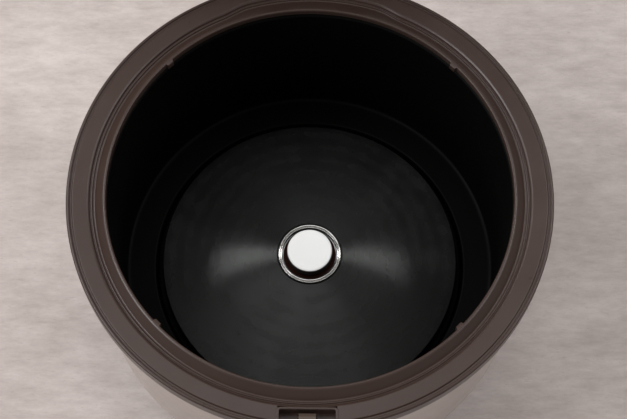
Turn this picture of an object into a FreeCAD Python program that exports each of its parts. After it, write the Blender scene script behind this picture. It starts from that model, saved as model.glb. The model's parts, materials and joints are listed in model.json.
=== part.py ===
import FreeCAD, Part
import math
import os

import Sketcher

# A large hinged-lid rice cooker, shown with its lid open on its stop and its inner pot taken out.
# The origin is the centre of the pot opening, in the plane of the rim's outer lip; +Z is up and
# the front, with the latch and the controls, faces -Y. Lengths are millimetres, angles degrees.
SIZES = {
    # rim moulding
    "rim_radius": 185.0,
    "skirt_height": 12.0,
    "skirt_wall": 2.4,
    "lip_width": 2.5,
    "lip_groove_width": 1.9,
    "lip_groove_depth": 1.3,
    "band_fall": 0.3,
    "step_run": 1.7,
    "step_fall": 2.3,
    "bead_width": 2.0,
    "bead_rise": 1.0,
    "valley_width": 1.4,
    "dam_run": 6.8,
    "dam_height": 3.6,
    "dam_width": 2.3,
    "rim_thickness": 2.6,
    "rib_width": 6.4,
    "rib_reach": 2.0,
    "rib_angle": 46.0,
    # well and heater
    "rim_width": 31.5,
    "well_wall": 0.8,
    "well_depth": 150.0,
    "well_flange": 4.0,
    "well_roll": 1.5,
    "well_corner": 4.0,
    "dish_margin": 5.2,
    "dish_fall": 6.0,
    "plate_margin": 30.7,
    "plate_lift": 1.4,
    "plate_edge": 6.0,
    "plate_crown": 12.3,
    "plate_bow": 2.2,
    "pad_margin": 12.0,
    "plate_hollow": 8.0,
    "leg_margin": 19.8,
    "plate_leg_radius": 5.0,
    "leg_start_angle": 90.0,
    "support_start_angle": 50.0,
    "element_margin": 34.8,
    "element_radius": 3.8,
    "element_gap": 50.0,
    "heater_low": 0.73,
    "heater_middle": 0.65,
    "heater_high": 0.33,
    "heater_thickness": 1.2,
    "wool_thickness": 5.0,
    "wool_overlap": 8.0,
    "fuse_radius": 2.2,
    "fuse_length": 20.0,
    "fuse_angle": 200.0,
    "clip_thickness": 0.8,
    # thermostat
    "ring_lap": 2.9,
    "ring_width": 3.6,
    "ring_height": 4.8,
    "cap_radius": 18.7,
    "cap_above_ring": 7.7,
    "cap_height": 24.0,
    "cap_wall": 0.8,
    "cap_travel": 5.0,
    "collar_width": 2.9,
    "collar_drop": 9.4,
    "ferrite_radius": 14.0,
    "ferrite_height": 9.6,
    "housing_wall": 1.2,
    "housing_depth": 42.0,
    "magnet_radius": 12.0,
    "magnet_height": 6.0,
    "magnet_gap": 14.0,
    "magnet_rod_radius": 2.0,
    "sensor_wire": 0.8,
    # shell and base
    "shell_wall": 1.2,
    "shell_foot_inset": 12.0,
    "shell_drop": 7.0,
    "shell_turn_in": 8.0,
    "base_wall": 2.5,
    "base_inset": 1.0,
    "waist_inset": 7.0,
    "base_waist_drop": 38.0,
    "foot_inset": 9.0,
    "base_height": 67.0,
    "cover_thickness": 2.2,
    "ledge_width": 9.0,
    "foot_radius": 11.0,
    "foot_height": 5.8,
    "foot_margin": 25.0,
    # front controls
    "panel_width": 124.0,
    "panel_top": 50.0,
    "panel_foot_gap": 15.0,
    "panel_thickness": 2.2,
    "lens_radius": 4.2,
    "lens_spacing": 44.0,
    "lens_drop": 20.0,
    "rocker_width": 22.0,
    "rocker_height": 15.0,
    "rocker_rise": 30.0,
    "rocker_frame_depth": 14.0,
    "rocker_tilt": 6.0,
    "rocker_pivot_inset": 3.0,
    "trunnion_radius": 1.5,
    "trunnion_reach": 1.4,
    "pivot_margin": 62.0,
    "lever_gap": 10.8,
    "lever_width": 8.0,
    "lever_thickness": 3.0,
    "pivot_radius": 2.0,
    "paddle_width": 42.0,
    "paddle_reach": 13.0,
    "paddle_height": 11.0,
    # latch
    "pocket_width": 44.0,
    "pocket_depth": 10.6,
    "pocket_margin": 16.0,
    "pocket_wall": 1.2,
    "hook_width": 12.6,
    "hook_thickness": 3.5,
    "hook_overhang": 1.7,
    "hook_pivot_depth": 18.0,
    "hook_arm": 13.0,
    "hook_pin_radius": 1.5,
    "hook_pin_inset": 4.9,
    "button_width": 32.0,
    "button_height": 12.0,
    "button_travel": 2.0,
    # lid and hinge
    "lid_edge_gap": 0.6,
    "lid_wall": 2.5,
    "lid_side": 15.0,
    "lid_shoulder_run": 14.0,
    "lid_shoulder_rise": 18.0,
    "lid_height": 58.0,
    "liner_height": 6.0,
    "liner_thickness": 2.0,
    "hinge_offset": 5.0,
    "hinge_height": 6.0,
    "hinge_width": 92.0,
    "hinge_plate_height": 32.0,
    "hinge_plate_thickness": 2.6,
    "ear_width": 10.0,
    "knuckle_radius": 7.0,
    "hinge_pin_radius": 2.5,
    "open_angle": 100.0,
    "inner_lid_margin": 6.5,
    "inner_lid_thickness": 1.2,
    "gasket_width": 4.5,
    "post_radius": 4.0,
    "vent_radius": 24.5,
    "vent_stem_radius": 14.0,
    "vent_offset": 70.0,
    # rear
    "collector_width": 76.0,
    "collector_reach": 19.0,
    "collector_top": 50.0,
    "collector_height": 62.0,
    "collector_wall": 1.8,
    "inlet_width": 30.0,
    "inlet_height": 22.0,
    "inlet_drop": 33.0,
    "inlet_cavity": 17.0,
    "inlet_proud": 5.0,
    "inlet_wall": 2.0,
    "inlet_back": 4.4,
    "inlet_flange": 9.0,
    "inlet_flange_thickness": 2.4,
    "pin_spacing": 7.0,
    "pin_thickness": 2.0,
    "pin_width": 4.0,
    "pin_setback": 3.5,
    "tab_length": 8.6,
    "spout_radius": 4.0,
    "spout_wall": 1.4,
    "spout_gap": 1.0,
    # fits
    "clearance": 0.3,
    "running_fit": 0.06,
    "screw_radius": 2.0,
    "screw_head_radius": 3.6,
    "screw_head_height": 2.2,
    "small_screw_radius": 2.6,
    "small_screw_height": 1.6,
}

document = FreeCAD.newDocument("rice_cooker")
sheet = document.addObject("Spreadsheet::Sheet", "Sizes")
for row, (alias, amount) in enumerate(SIZES.items(), start=1):
    sheet.set(f"A{row}", alias)
    sheet.set(f"B{row}", str(amount))
    sheet.setAlias(f"B{row}", alias)
document.recompute()

FULL_TURN = 360.0
SENSOR_TURNS = 4
# How far a quarter circle bows from its chord, for a radius of one.
ARC_HEIGHT = 1 - math.sqrt(0.5)
nodes = {}
body_screws = []


# ---------------------------------------------------------------- sizes that stay bound

class Size:
    """A size that carries its number and the sheet expression that it comes from."""

    def __init__(self, number, text):
        self.number = number
        self.text = text

    def __add__(self, other):
        return joined(self, "+", other, self.number + number_of(other))

    def __radd__(self, other):
        return joined(other, "+", self, number_of(other) + self.number)

    def __sub__(self, other):
        return joined(self, "-", other, self.number - number_of(other))

    def __rsub__(self, other):
        return joined(other, "-", self, number_of(other) - self.number)

    def __mul__(self, other):
        return joined(self, "*", other, self.number * number_of(other))

    def __rmul__(self, other):
        return joined(other, "*", self, number_of(other) * self.number)

    def __truediv__(self, other):
        return joined(self, "/", other, self.number / number_of(other))

    def __neg__(self):
        return Size(-self.number, f"(-1 * {self.text})")


def number_of(value):
    """The plain number of a Size or of a number."""
    return value.number if isinstance(value, Size) else float(value)


def text_of(value):
    """The expression text of a Size or of a number."""
    return value.text if isinstance(value, Size) else f"({float(value):.10g})"


def joined(left, sign, right, number):
    """Two values joined by an arithmetic sign, as one Size."""
    return Size(number, f"({text_of(left)} {sign} {text_of(right)})")


def root(value):
    """The square root of a value."""
    return Size(math.sqrt(number_of(value)), f"sqrt({text_of(value)})")


def cosine(degrees):
    """The cosine of an angle in degrees."""
    return Size(math.cos(math.radians(number_of(degrees))), f"cos({text_of(degrees)} * 1 deg)")


def sine(degrees):
    """The sine of an angle in degrees."""
    return Size(math.sin(math.radians(number_of(degrees))), f"sin({text_of(degrees)} * 1 deg)")


class Sheet:
    """Gives each alias of the sheet as a Size: sizes.rim_radius."""

    def __getattr__(self, alias):
        return Size(float(sheet.get(alias)), f"Sizes.{alias}")


sizes = Sheet()


def bind(item, path, value):
    """Ties a property of an object to the sheet."""
    item.setExpression(path, text_of(value))


# ---------------------------------------------------------------- ways to make a piece

def place(item, x, y, z):
    """Puts an object's origin at a bound point."""
    for axis, value in zip("xyz", (x, y, z)):
        bind(item, f"Placement.Base.{axis}", value)


def place_turned(item, angle, x, y, z):
    """Turns an object about Z by an angle and carries its corner (x, y, z) round with it."""
    item.Placement.Rotation = FreeCAD.Rotation(FreeCAD.Vector(0, 0, 1), number_of(angle))
    place(item, x * cosine(angle) - y * sine(angle), x * sine(angle) + y * cosine(angle), z)


def block(name, x, y, z, angle=None):
    """A box between two bounds along each axis, turned about Z by an angle where one is given."""
    item = document.addObject("Part::Box", name)
    for path, (low, high) in zip(("Length", "Width", "Height"), (x, y, z)):
        bind(item, path, as_size(high) - low)
    if angle is None:
        place(item, x[0], y[0], z[0])
    else:
        place_turned(item, angle, as_size(x[0]), as_size(y[0]), z[0])
    return item


def as_size(value):
    """Any value as a Size."""
    return value if isinstance(value, Size) else Size(float(value), text_of(value))


TURNS = {"X": ((0, 1, 0), 90), "Y": ((1, 0, 0), -90), "Z": ((0, 0, 1), 0)}


def rod(name, radius, x, y, z, length, axis="Z"):
    """A round bar from (x, y, z), running towards +X, +Y or +Z."""
    item = document.addObject("Part::Cylinder", name)
    direction, degrees = TURNS[axis]
    item.Placement.Rotation = FreeCAD.Rotation(FreeCAD.Vector(*direction), degrees)
    bind(item, "Radius", radius)
    bind(item, "Height", length)
    place(item, x, y, z)
    return item


def fuse(name, *pieces):
    """Pieces joined into one."""
    item = document.addObject("Part::MultiFuse", name)
    item.Shapes = list(pieces)
    return item


def group(name, *pieces):
    """Separate pieces kept together under one name."""
    item = document.addObject("Part::Compound", name)
    item.Links = list(pieces)
    return item


def cut(name, piece, *tools):
    """A piece with tools taken out of it; it stops where a cut removes nothing."""
    item = document.addObject("Part::Cut", name)
    item.Base = piece
    item.Tool = tools[0] if len(tools) == 1 else fuse(f"{name}_tools", *tools)
    document.recompute()
    if item.Shape.Volume > piece.Shape.Volume - 1e-3:
        raise ValueError(f"{name}: the cut took nothing away")
    return item


def common(name, piece, other):
    """What two pieces share."""
    item = document.addObject("Part::Common", name)
    item.Base = piece
    item.Tool = other
    return item


def sketch_outline(sketch, outline):
    """Draws a closed outline of (across, up) corners, each tied to the sheet.

    A third value on a corner is the height of the arc that leads to the next corner: it bows to the
    right of the way the outline is walked, or to the left where it is negative.
    """
    corners = [(as_size(corner[0]), as_size(corner[1])) for corner in outline]
    count = len(corners)
    ends = []
    for index, corner in enumerate(outline):
        here = FreeCAD.Vector(corners[index][0].number, corners[index][1].number, 0)
        after = corners[(index + 1) % count]
        there = FreeCAD.Vector(after[0].number, after[1].number, 0)
        if len(corner) == 3:
            chord = there - here
            right = FreeCAD.Vector(chord.y, -chord.x, 0).normalize()
            middle = (here + there) * 0.5 + right * number_of(corner[2])
            forwards = number_of(corner[2]) > 0
            sketch.addGeometry(Part.Arc(here, middle, there) if forwards else Part.Arc(there, middle, here))
            ends.append((1, 2) if forwards else (2, 1))
        else:
            sketch.addGeometry(Part.LineSegment(here, there))
            ends.append((1, 2))
    for index in range(count):
        after = (index + 1) % count
        sketch.addConstraint(Sketcher.Constraint("Coincident", index, ends[index][1], after, ends[after][0]))
    for index, (across, up) in enumerate(corners):
        for kind, value in (("DistanceX", across), ("DistanceY", up)):
            start = ends[index][0]
            if abs(value.number) < 1e-9:
                line = -2 if kind == "DistanceX" else -1
                sketch.addConstraint(Sketcher.Constraint("PointOnObject", index, start, line))
                continue
            number = sketch.addConstraint(Sketcher.Constraint(kind, -1, 1, index, start, value.number))
            bind(sketch, f"Constraints[{number}]", value)
        if len(outline[index]) == 3:
            after = corners[(index + 1) % count]
            height = as_size(outline[index][2])
            run, rise = after[0] - across, after[1] - up
            bow = height if height.number > 0 else -height
            radius = ((run * run + rise * rise) / 4 + bow * bow) / (bow * 2)
            number = sketch.addConstraint(Sketcher.Constraint("Radius", index, radius.number))
            bind(sketch, f"Constraints[{number}]", radius)


def new_sketch(body, role, outline):
    """A sketch on one of a body's own origin planes."""
    sketch = body.newObject("Sketcher::SketchObject", f"{body.Name}_outline")
    plane = next(item for item in body.Origin.OriginFeatures if item.Role == role)
    sketch.AttachmentSupport = (plane, [""])
    sketch.MapMode = "FlatFace"
    sketch_outline(sketch, outline)
    return sketch


def turned(name, outline, x=0, y=0):
    """A body turned about the upright line through (x, y), from an outline of (radius, height)."""
    body = document.addObject("PartDesign::Body", name)
    sketch = new_sketch(body, "XZ_Plane", outline)
    feature = body.newObject("PartDesign::Revolution", f"{name}_turn")
    feature.Profile = sketch
    feature.ReferenceAxis = (sketch, ["V_Axis"])
    feature.Angle = FULL_TURN
    sketch.Visibility = False
    if as_size(x).number or as_size(y).number:
        place(body, x, y, 0)
    return body


def extruded(name, outline, low, high):
    """A body with a (Y, Z) outline, extruded along X between two bounds."""
    body = document.addObject("PartDesign::Body", name)
    sketch = new_sketch(body, "YZ_Plane", outline)
    feature = body.newObject("PartDesign::Pad", f"{name}_pad")
    feature.Profile = sketch
    bind(feature, "Length", as_size(high) - low)
    place(body, low, 0, 0)
    return body


def coil(name, radius, wire, length, turns, origin, axis):
    """A coil spring: a round wire swept along a helix. It is made as a shape from the sheet's sizes."""
    pitch = (length - 2.6 * wire) / turns
    path = Part.makeHelix(pitch, pitch * turns, radius)
    edge = path.Edges[0]
    start = edge.valueAt(edge.FirstParameter)
    section = Part.Wire(Part.makeCircle(wire, start, edge.tangentAt(edge.FirstParameter)))
    item = document.addObject("Part::Feature", name)
    item.Shape = Part.Wire(path.Edges).makePipeShell([section], True, True)
    direction, degrees = TURNS[axis]
    turn = FreeCAD.Rotation(FreeCAD.Vector(*direction), degrees)
    lift = turn.multVec(FreeCAD.Vector(0, 0, 1.3 * wire))
    item.Placement = FreeCAD.Placement(FreeCAD.Vector(*origin) + lift, turn)
    return item


def polar(radius, angle):
    """The point at a radius and an angle from +X, as bound coordinates."""
    return radius * cosine(angle), radius * sine(angle)


def keep(name, item):
    """Takes an object as a finished sub-part: its label is its node's name."""
    item.Label = name
    nodes[name] = item
    return item


# ---------------------------------------------------------------- shared places

s = sizes
fit = s.clearance
well_radius = s.rim_radius - s.rim_width
plate_radius = well_radius - s.plate_margin
dish_radius = plate_radius + s.dish_margin
plate_leg_circle = plate_radius - s.leg_margin
element_ring = plate_radius - s.element_margin
plate_pad_radius = element_ring - s.pad_margin
inner_lid_radius = well_radius - s.inner_lid_margin
shell_foot_radius = s.rim_radius - s.shell_foot_inset
base_waist_radius = shell_foot_radius - s.waist_inset
base_foot_radius = base_waist_radius - s.foot_inset
foot_circle = base_foot_radius - s.foot_margin
pocket_inner_radius = s.rim_radius - s.pocket_margin
shell_height = s.well_depth + s.shell_drop
panel_height = shell_height - s.panel_top - s.panel_foot_gap
lens_depth = s.panel_top + s.lens_drop
rocker_depth = s.panel_top + panel_height - s.rocker_rise
inlet_depth = shell_height + s.inlet_drop
housing_inner = s.cap_radius + s.collar_width + fit + 0.1
housing_outer = housing_inner + s.housing_wall
ring_radius = housing_outer + s.ring_lap
plate_bottom = s.plate_lift - s.well_depth
plate_edge_top = plate_bottom + s.plate_edge
ring_top = plate_edge_top + s.plate_crown + 0.6
cap_top = ring_top + s.cap_above_ring
housing_low = cap_top - s.housing_depth - s.housing_wall
lever_z = housing_low - s.lever_gap
pivot_reach = base_foot_radius - s.pivot_margin
dish_top = -(s.well_depth + s.dish_fall)
dish_bottom = dish_top - s.well_wall
dam_inner = well_radius + s.well_wall
flange_top = -(s.rim_thickness + 1.5)
shell_top_radius = s.rim_radius - s.skirt_wall - fit
shell_top = -5.0
shell_foot = -shell_height
shell_taper = (shell_top_radius - shell_foot_radius) / (shell_foot * -1 + shell_top)
base_top = shell_foot - fit
base_foot = shell_foot - s.base_height
hinge_y = s.rim_radius + s.hinge_offset
pocket_outer = s.rim_radius - s.skirt_wall - 0.4
hook_pin_y = -(pocket_outer - s.pocket_wall - fit - s.hook_pin_inset)
hook_back = hook_pin_y + s.hook_thickness / 2
hinge_z = s.hinge_height
floor_level = base_foot - s.foot_height


def shell_radius(depth):
    """The shell's outer radius at a depth below the rim."""
    return shell_top_radius - shell_taper * (depth + shell_top)


# ---------------------------------------------------------------- rim

def make_rim():
    """The moulded rim: lip, groove, flat band, step, bead, valley and the raised dam round the well."""
    outer = s.rim_radius
    lip = outer - s.lip_width
    groove = lip - s.lip_groove_width
    dam_top = dam_inner + s.dam_width
    valley = dam_top + s.dam_run
    bead_inner = valley + s.valley_width
    bead_outer = bead_inner + s.bead_width
    step = bead_outer + s.step_run
    band = -s.band_fall
    step_floor = band - s.step_fall
    crest = step_floor + s.bead_rise
    under = step_floor - s.rim_thickness
    outline = [
        (outer, -s.skirt_height),
        (outer, -1.0, 0.3),
        (outer - 1.0, 0),
        (lip, 0),
        (lip - 0.3, -s.lip_groove_depth),
        (groove, -s.lip_groove_depth),
        (groove - 0.3, band * 0.5),
        (step, band, 0.2),
        (bead_outer, step_floor),
        (bead_outer - 0.3, crest, 0.25),
        (bead_inner + 0.3, crest),
        (bead_inner, step_floor - 0.4, -0.15),
        (valley, step_floor - 0.4),
        (dam_top, s.dam_height - 0.3, 0.3),
        (dam_inner, s.dam_height - 1.0),
        (dam_inner, -(s.rim_thickness - 0.6)),
        (dam_top + 0.4, -(s.rim_thickness - 0.6)),
        (dam_top + 0.4, -0.2),
        (valley, under),
        (bead_outer, under),
        (step, band - s.rim_thickness),
        (outer - s.skirt_wall, band - s.rim_thickness),
        (outer - s.skirt_wall, -s.skirt_height),
    ]
    ring = turned("rim_body", outline)
    ribs = []
    for index, side in enumerate((1, -1, 1, -1)):
        angle = 90 + side * s.rib_angle if index < 2 else -90 + side * s.rib_angle
        reach = (dam_inner - s.rib_reach, dam_inner + 1.0)
        height = (-(s.rim_thickness - 0.6), s.dam_height - 1.2)
        ribs.append(block(f"rim_rib_{index}", reach, (-s.rib_width / 2, s.rib_width / 2), height, angle))
    half = s.pocket_width / 2
    inner = pocket_inner_radius
    outside = s.rim_radius - s.skirt_wall - 0.2
    pocket = block("rim_pocket", (-half, half), (-outside, -inner), (-s.skirt_height, 2))
    keep("rim_ring", cut("rim_cut", fuse("rim_ribbed", ring, *ribs), pocket))


# ---------------------------------------------------------------- well, heater and thermostat

def make_well():
    """The black-coated well: a rolled flange, a straight wall and a dished floor with a centre hole."""
    wall, radius = s.well_wall, well_radius
    roll, corner = s.well_roll, s.well_corner
    hole = ring_radius + s.housing_wall
    floor_top = -s.well_depth
    outline = [
        (radius + wall + roll + s.well_flange, flange_top - wall),
        (radius + wall + roll + s.well_flange, flange_top),
        (radius + roll, flange_top, -roll * ARC_HEIGHT),
        (radius, flange_top - roll),
        (radius, floor_top + corner, corner * ARC_HEIGHT),
        (radius - corner, floor_top),
        (dish_radius + 1.0, floor_top),
        (dish_radius - 1.0, dish_top),
        (hole, dish_top),
        (hole, dish_bottom),
        (dish_radius - 1.0 + wall, dish_bottom),
        (dish_radius + 1.0 + wall, floor_top - wall),
        (radius - corner, floor_top - wall, (corner + wall) * ARC_HEIGHT),
        (radius + wall, floor_top + corner),
        (radius + wall, flange_top - wall - roll, -roll * ARC_HEIGHT),
        (radius + wall + roll, flange_top - wall),
    ]
    holes = []
    for index, (x, y) in enumerate(element_pin_places()):
        holes.append(rod(f"well_pin_hole_{index}", s.element_radius + 1.0, x, y, dish_bottom - 1, wall + 2))
    keep("well", cut("well_cut", turned("well_body", outline), *holes))


def element_pin_places():
    """Where the heating element's two ends turn down through the well's floor."""
    return [polar(element_ring, 90 + side * s.element_gap / 2) for side in (1, -1)]


def make_plate():
    """The cast heater plate: a crowned top, a plain rim and a groove for the heating element below."""
    hole = ring_radius + fit
    top = ring_top - 0.6
    outline = [
        (hole, plate_bottom + s.plate_hollow),
        (plate_pad_radius - 3.0, plate_bottom + s.plate_hollow),
        (plate_pad_radius, plate_bottom),
        (plate_radius - 1.0, plate_bottom),
        (plate_radius, plate_bottom + 1.0),
        (plate_radius, plate_edge_top, s.plate_bow),
        (hole, top),
    ]
    plate = turned("plate_body", outline)
    groove = document.addObject("Part::Torus", "plate_groove")
    bind(groove, "Radius1", element_ring)
    bind(groove, "Radius2", s.element_radius)
    place(groove, 0, 0, plate_bottom)
    keep("heater_plate", cut("plate_cut", plate, groove))

    element = document.addObject("Part::Torus", "element_ring_body")
    bind(element, "Radius1", element_ring)
    bind(element, "Radius2", s.element_radius)
    bind(element, "Angle3", FULL_TURN - s.element_gap)
    element.Placement.Rotation = FreeCAD.Rotation(FreeCAD.Vector(0, 0, 1), 90 + SIZES["element_gap"] / 2)
    place(element, 0, 0, plate_bottom)
    pins = []
    for index, (x, y) in enumerate(element_pin_places()):
        low = dish_bottom - 14
        pins.append(rod(f"element_pin_{index}", s.element_radius - 0.8, x, y, low, plate_bottom - low))
    keep("heating_element", fuse("element_fused", element, *pins))


def make_thermostat():
    """The sensing cap on its spring, its chromed ring and housing, and the magnet that answers it."""
    outer, inner = ring_radius, ring_radius - s.ring_width
    low = ring_top - s.ring_height
    middle = (outer + inner) / 2
    bead = [
        (inner, low),
        (outer, low),
        (outer, ring_top - 0.9, 0.45),
        (middle + 0.45, ring_top - 0.8),
        (middle - 0.45, ring_top - 0.8, 0.4),
        (inner, ring_top - 0.9),
    ]
    keep("sensor_ring", turned("ring_body", bead))

    radius, wall = s.cap_radius, s.cap_wall
    skirt = cap_top - s.cap_height
    cap = [
        (0, cap_top),
        (0, cap_top - 1.2),
        (radius - wall, cap_top - 1.2),
        (radius - wall, skirt),
        (radius, skirt),
        (radius, cap_top - 1.4, 0.4),
        (radius - 1.4, cap_top),
    ]
    keep("sensor_cap", turned("cap_body", cap))
    collar_top = cap_top - s.collar_drop
    collar = [
        (radius, collar_top - 1.6),
        (radius + s.collar_width, collar_top - 1.6),
        (radius + s.collar_width, collar_top),
        (radius, collar_top),
    ]
    keep("sensor_collar", turned("collar_body", collar))
    ferrite_top = cap_top - 1.2
    ferrite_bottom = ferrite_top - s.ferrite_height
    keep("sensor_ferrite", rod("ferrite_body", s.ferrite_radius, 0, 0, ferrite_bottom, s.ferrite_height))

    bottom = housing_low + s.housing_wall
    hole = s.magnet_rod_radius + fit
    housing = [
        (hole, housing_low),
        (housing_outer, housing_low),
        (housing_outer, low),
        (housing_inner, low),
        (housing_inner, bottom),
        (hole, bottom),
    ]
    keep("sensor_housing", turned("housing_body", housing))
    length = skirt - fit - (bottom + 0.1)
    keep("sensor_spring", coil("sensor_spring_body", number_of(radius - 1.0), number_of(s.sensor_wire),
                               number_of(length), SENSOR_TURNS, (0, 0, number_of(bottom) + 0.1), "Z"))
    magnet_top = ferrite_bottom - s.magnet_gap
    magnet_low = magnet_top - s.magnet_height
    keep("magnet", rod("magnet_body", s.magnet_radius, 0, 0, magnet_low, s.magnet_height))
    rod_low = lever_z + s.lever_thickness / 2 + fit
    keep("magnet_rod", rod("magnet_rod_body", s.magnet_rod_radius, 0, 0, rod_low, magnet_low - rod_low))


def make_well_fittings():
    """What hangs on the well: plate legs and screws, side heater, insulation, fuse and support legs."""
    legs, screws = [], []
    for index in range(3):
        x, y = polar(plate_leg_circle, s.leg_start_angle + index * 120)
        legs.append(rod(f"plate_leg_{index}", s.plate_leg_radius, x, y, dish_top, plate_bottom - dish_top))
        screws.append(rod(f"plate_screw_head_{index}", s.screw_head_radius, x, y,
                          dish_bottom - s.screw_head_height, s.screw_head_height))
    keep("plate_legs", group("plate_legs_group", *legs))
    body_screws.extend(screws)

    skin = well_radius + s.well_wall
    low, high = -s.well_depth * s.heater_low, -s.well_depth * s.heater_high
    band = [(skin, low), (skin + s.heater_thickness, low), (skin + s.heater_thickness, high), (skin, high)]
    keep("side_heater", turned("side_heater_body", band))
    inside, outside = skin + s.heater_thickness, skin + s.wool_thickness
    low, high = low - s.wool_overlap, high + s.wool_overlap
    wool = [(inside, low), (outside, low), (outside, high), (inside, high)]
    keep("insulation", turned("insulation_body", wool))

    inside = base_foot_radius - s.base_wall - 5.0
    lower, upper = base_foot + s.cover_thickness + 2.0, -s.well_depth - s.well_wall
    supports = []
    for index in range(3):
        angle = s.support_start_angle + index * 120
        upright = block(f"leg_upright_{index}", (inside - 2.5, inside), (-8, 8), (lower, upper), angle)
        top = block(f"leg_top_{index}", (inside - 14, inside), (-8, 8), (upper - 1.6, upper), angle)
        foot = block(f"leg_foot_{index}", (inside - 2.5, inside + 3.0), (-8, 8), (lower, lower + 1.6), angle)
        supports.append(fuse(f"leg_{index}", upright, top, foot))
    keep("well_supports", group("well_supports_group", *supports))

    clip_face = outside + s.clip_thickness
    fuse_low = -s.well_depth * s.heater_middle
    x, y = polar(clip_face + s.fuse_radius, s.fuse_angle)
    keep("thermal_fuse", rod("fuse_body", s.fuse_radius, x, y, fuse_low, s.fuse_length))
    keep("fuse_clip", block("fuse_clip_body", (outside, clip_face), (-6, 6),
                            (fuse_low + 2, fuse_low + s.fuse_length - 2), s.fuse_angle))


# ---------------------------------------------------------------- shell and base

def make_shell():
    """The tapered outer shell, open behind the panel and the button, with a turned-in foot."""
    top, bottom, wall = shell_top_radius, shell_foot_radius, s.shell_wall
    outline = [
        (bottom - s.shell_turn_in, shell_foot),
        (bottom - 1.0, shell_foot, 0.3),
        (bottom, shell_foot + 1.0),
        (top, shell_top),
        (top - wall, shell_top),
        (bottom - wall, shell_foot + wall),
        (bottom - s.shell_turn_in, shell_foot + wall),
    ]
    shell = turned("shell_body", outline)
    half_panel = s.panel_width / 2 - 10
    panel_low = -(s.panel_top + panel_height)
    window = block("shell_window", (-half_panel, half_panel), (-s.rim_radius, -base_foot_radius),
                   (panel_low + 8, -s.panel_top - 8))
    half = s.button_width / 2 + 2.8
    middle = -(s.hook_pivot_depth + s.hook_arm)
    reach = s.button_height / 2 + 2.8
    hatch = block("shell_hatch", (-half, half), (-s.rim_radius, -base_foot_radius),
                  (middle - reach, middle + reach))
    half_pocket = s.pocket_width / 2 + 0.3
    notch = block("shell_notch", (-half_pocket, half_pocket), (-s.rim_radius, -pocket_inner_radius),
                  (-s.pocket_depth - s.pocket_wall - 0.4, 0))
    keep("outer_shell", cut("shell_cut", shell, window, hatch, notch))


def make_base():
    """The dark base tub, its cover, feet and screws, with the slot for the lever and the inlet."""
    wall = s.base_wall
    top = shell_foot_radius - s.base_inset
    waist, waist_z = base_waist_radius, base_top - s.base_waist_drop
    foot = base_foot_radius
    ledge_z = base_foot + s.cover_thickness
    outline = [
        (foot, base_foot),
        (waist, waist_z),
        (top, base_top),
        (top - s.shell_turn_in, base_top),
        (top - s.shell_turn_in, base_top - wall),
        (top - wall, base_top - wall),
        (waist - wall, waist_z),
        (foot - wall - 0.6, ledge_z + 2.0),
        (foot - wall - s.ledge_width, ledge_z + 2.0),
        (foot - wall - s.ledge_width, ledge_z),
        (foot - wall, ledge_z),
        (foot - wall, base_foot),
    ]
    tub = turned("base_body", outline)
    half = s.lever_width / 2 + 1.5
    slot = block("base_slot", (-half, half), (-top - 2, -foot + wall + 2),
                 (lever_z - 12.0, lever_z + 4.0))
    reach, rise = s.inlet_width / 2, s.inlet_height / 2
    opening = block("base_inlet_hole", (-reach - 2.4, reach + 2.4), (foot - 12, top + 4),
                    (-inlet_depth - rise - 2.4, -inlet_depth + rise + 2.4))
    keep("base_tub", cut("base_cut", tub, slot, opening))

    cover_radius = foot - wall - fit
    disc = rod("cover_disc", cover_radius, 0, 0, base_foot, s.cover_thickness)
    vents = []
    for index in range(12):
        angle = index * 30 + 15
        vents.append(block(f"cover_vent_{index}", (62, 96), (-2.5, 2.5), (base_foot - 1, ledge_z + 1), angle))
    keep("bottom_cover", cut("cover_cut", disc, *vents))

    feet, screws = [], []
    for index in range(4):
        x, y = polar(foot_circle, 45 + index * 90)
        feet.append(rod(f"foot_{index}", s.foot_radius, x, y, floor_level, s.foot_height))
        x, y = polar(foot - wall - s.ledge_width / 2 - 0.5, index * 90 + 12)
        screws.append(rod(f"base_screw_{index}", s.screw_head_radius - 0.4, x, y,
                          base_foot - s.screw_head_height, s.screw_head_height))
    keep("feet", group("feet_group", *feet))
    body_screws.extend(screws)


# ---------------------------------------------------------------- front panel and cook switch

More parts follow.
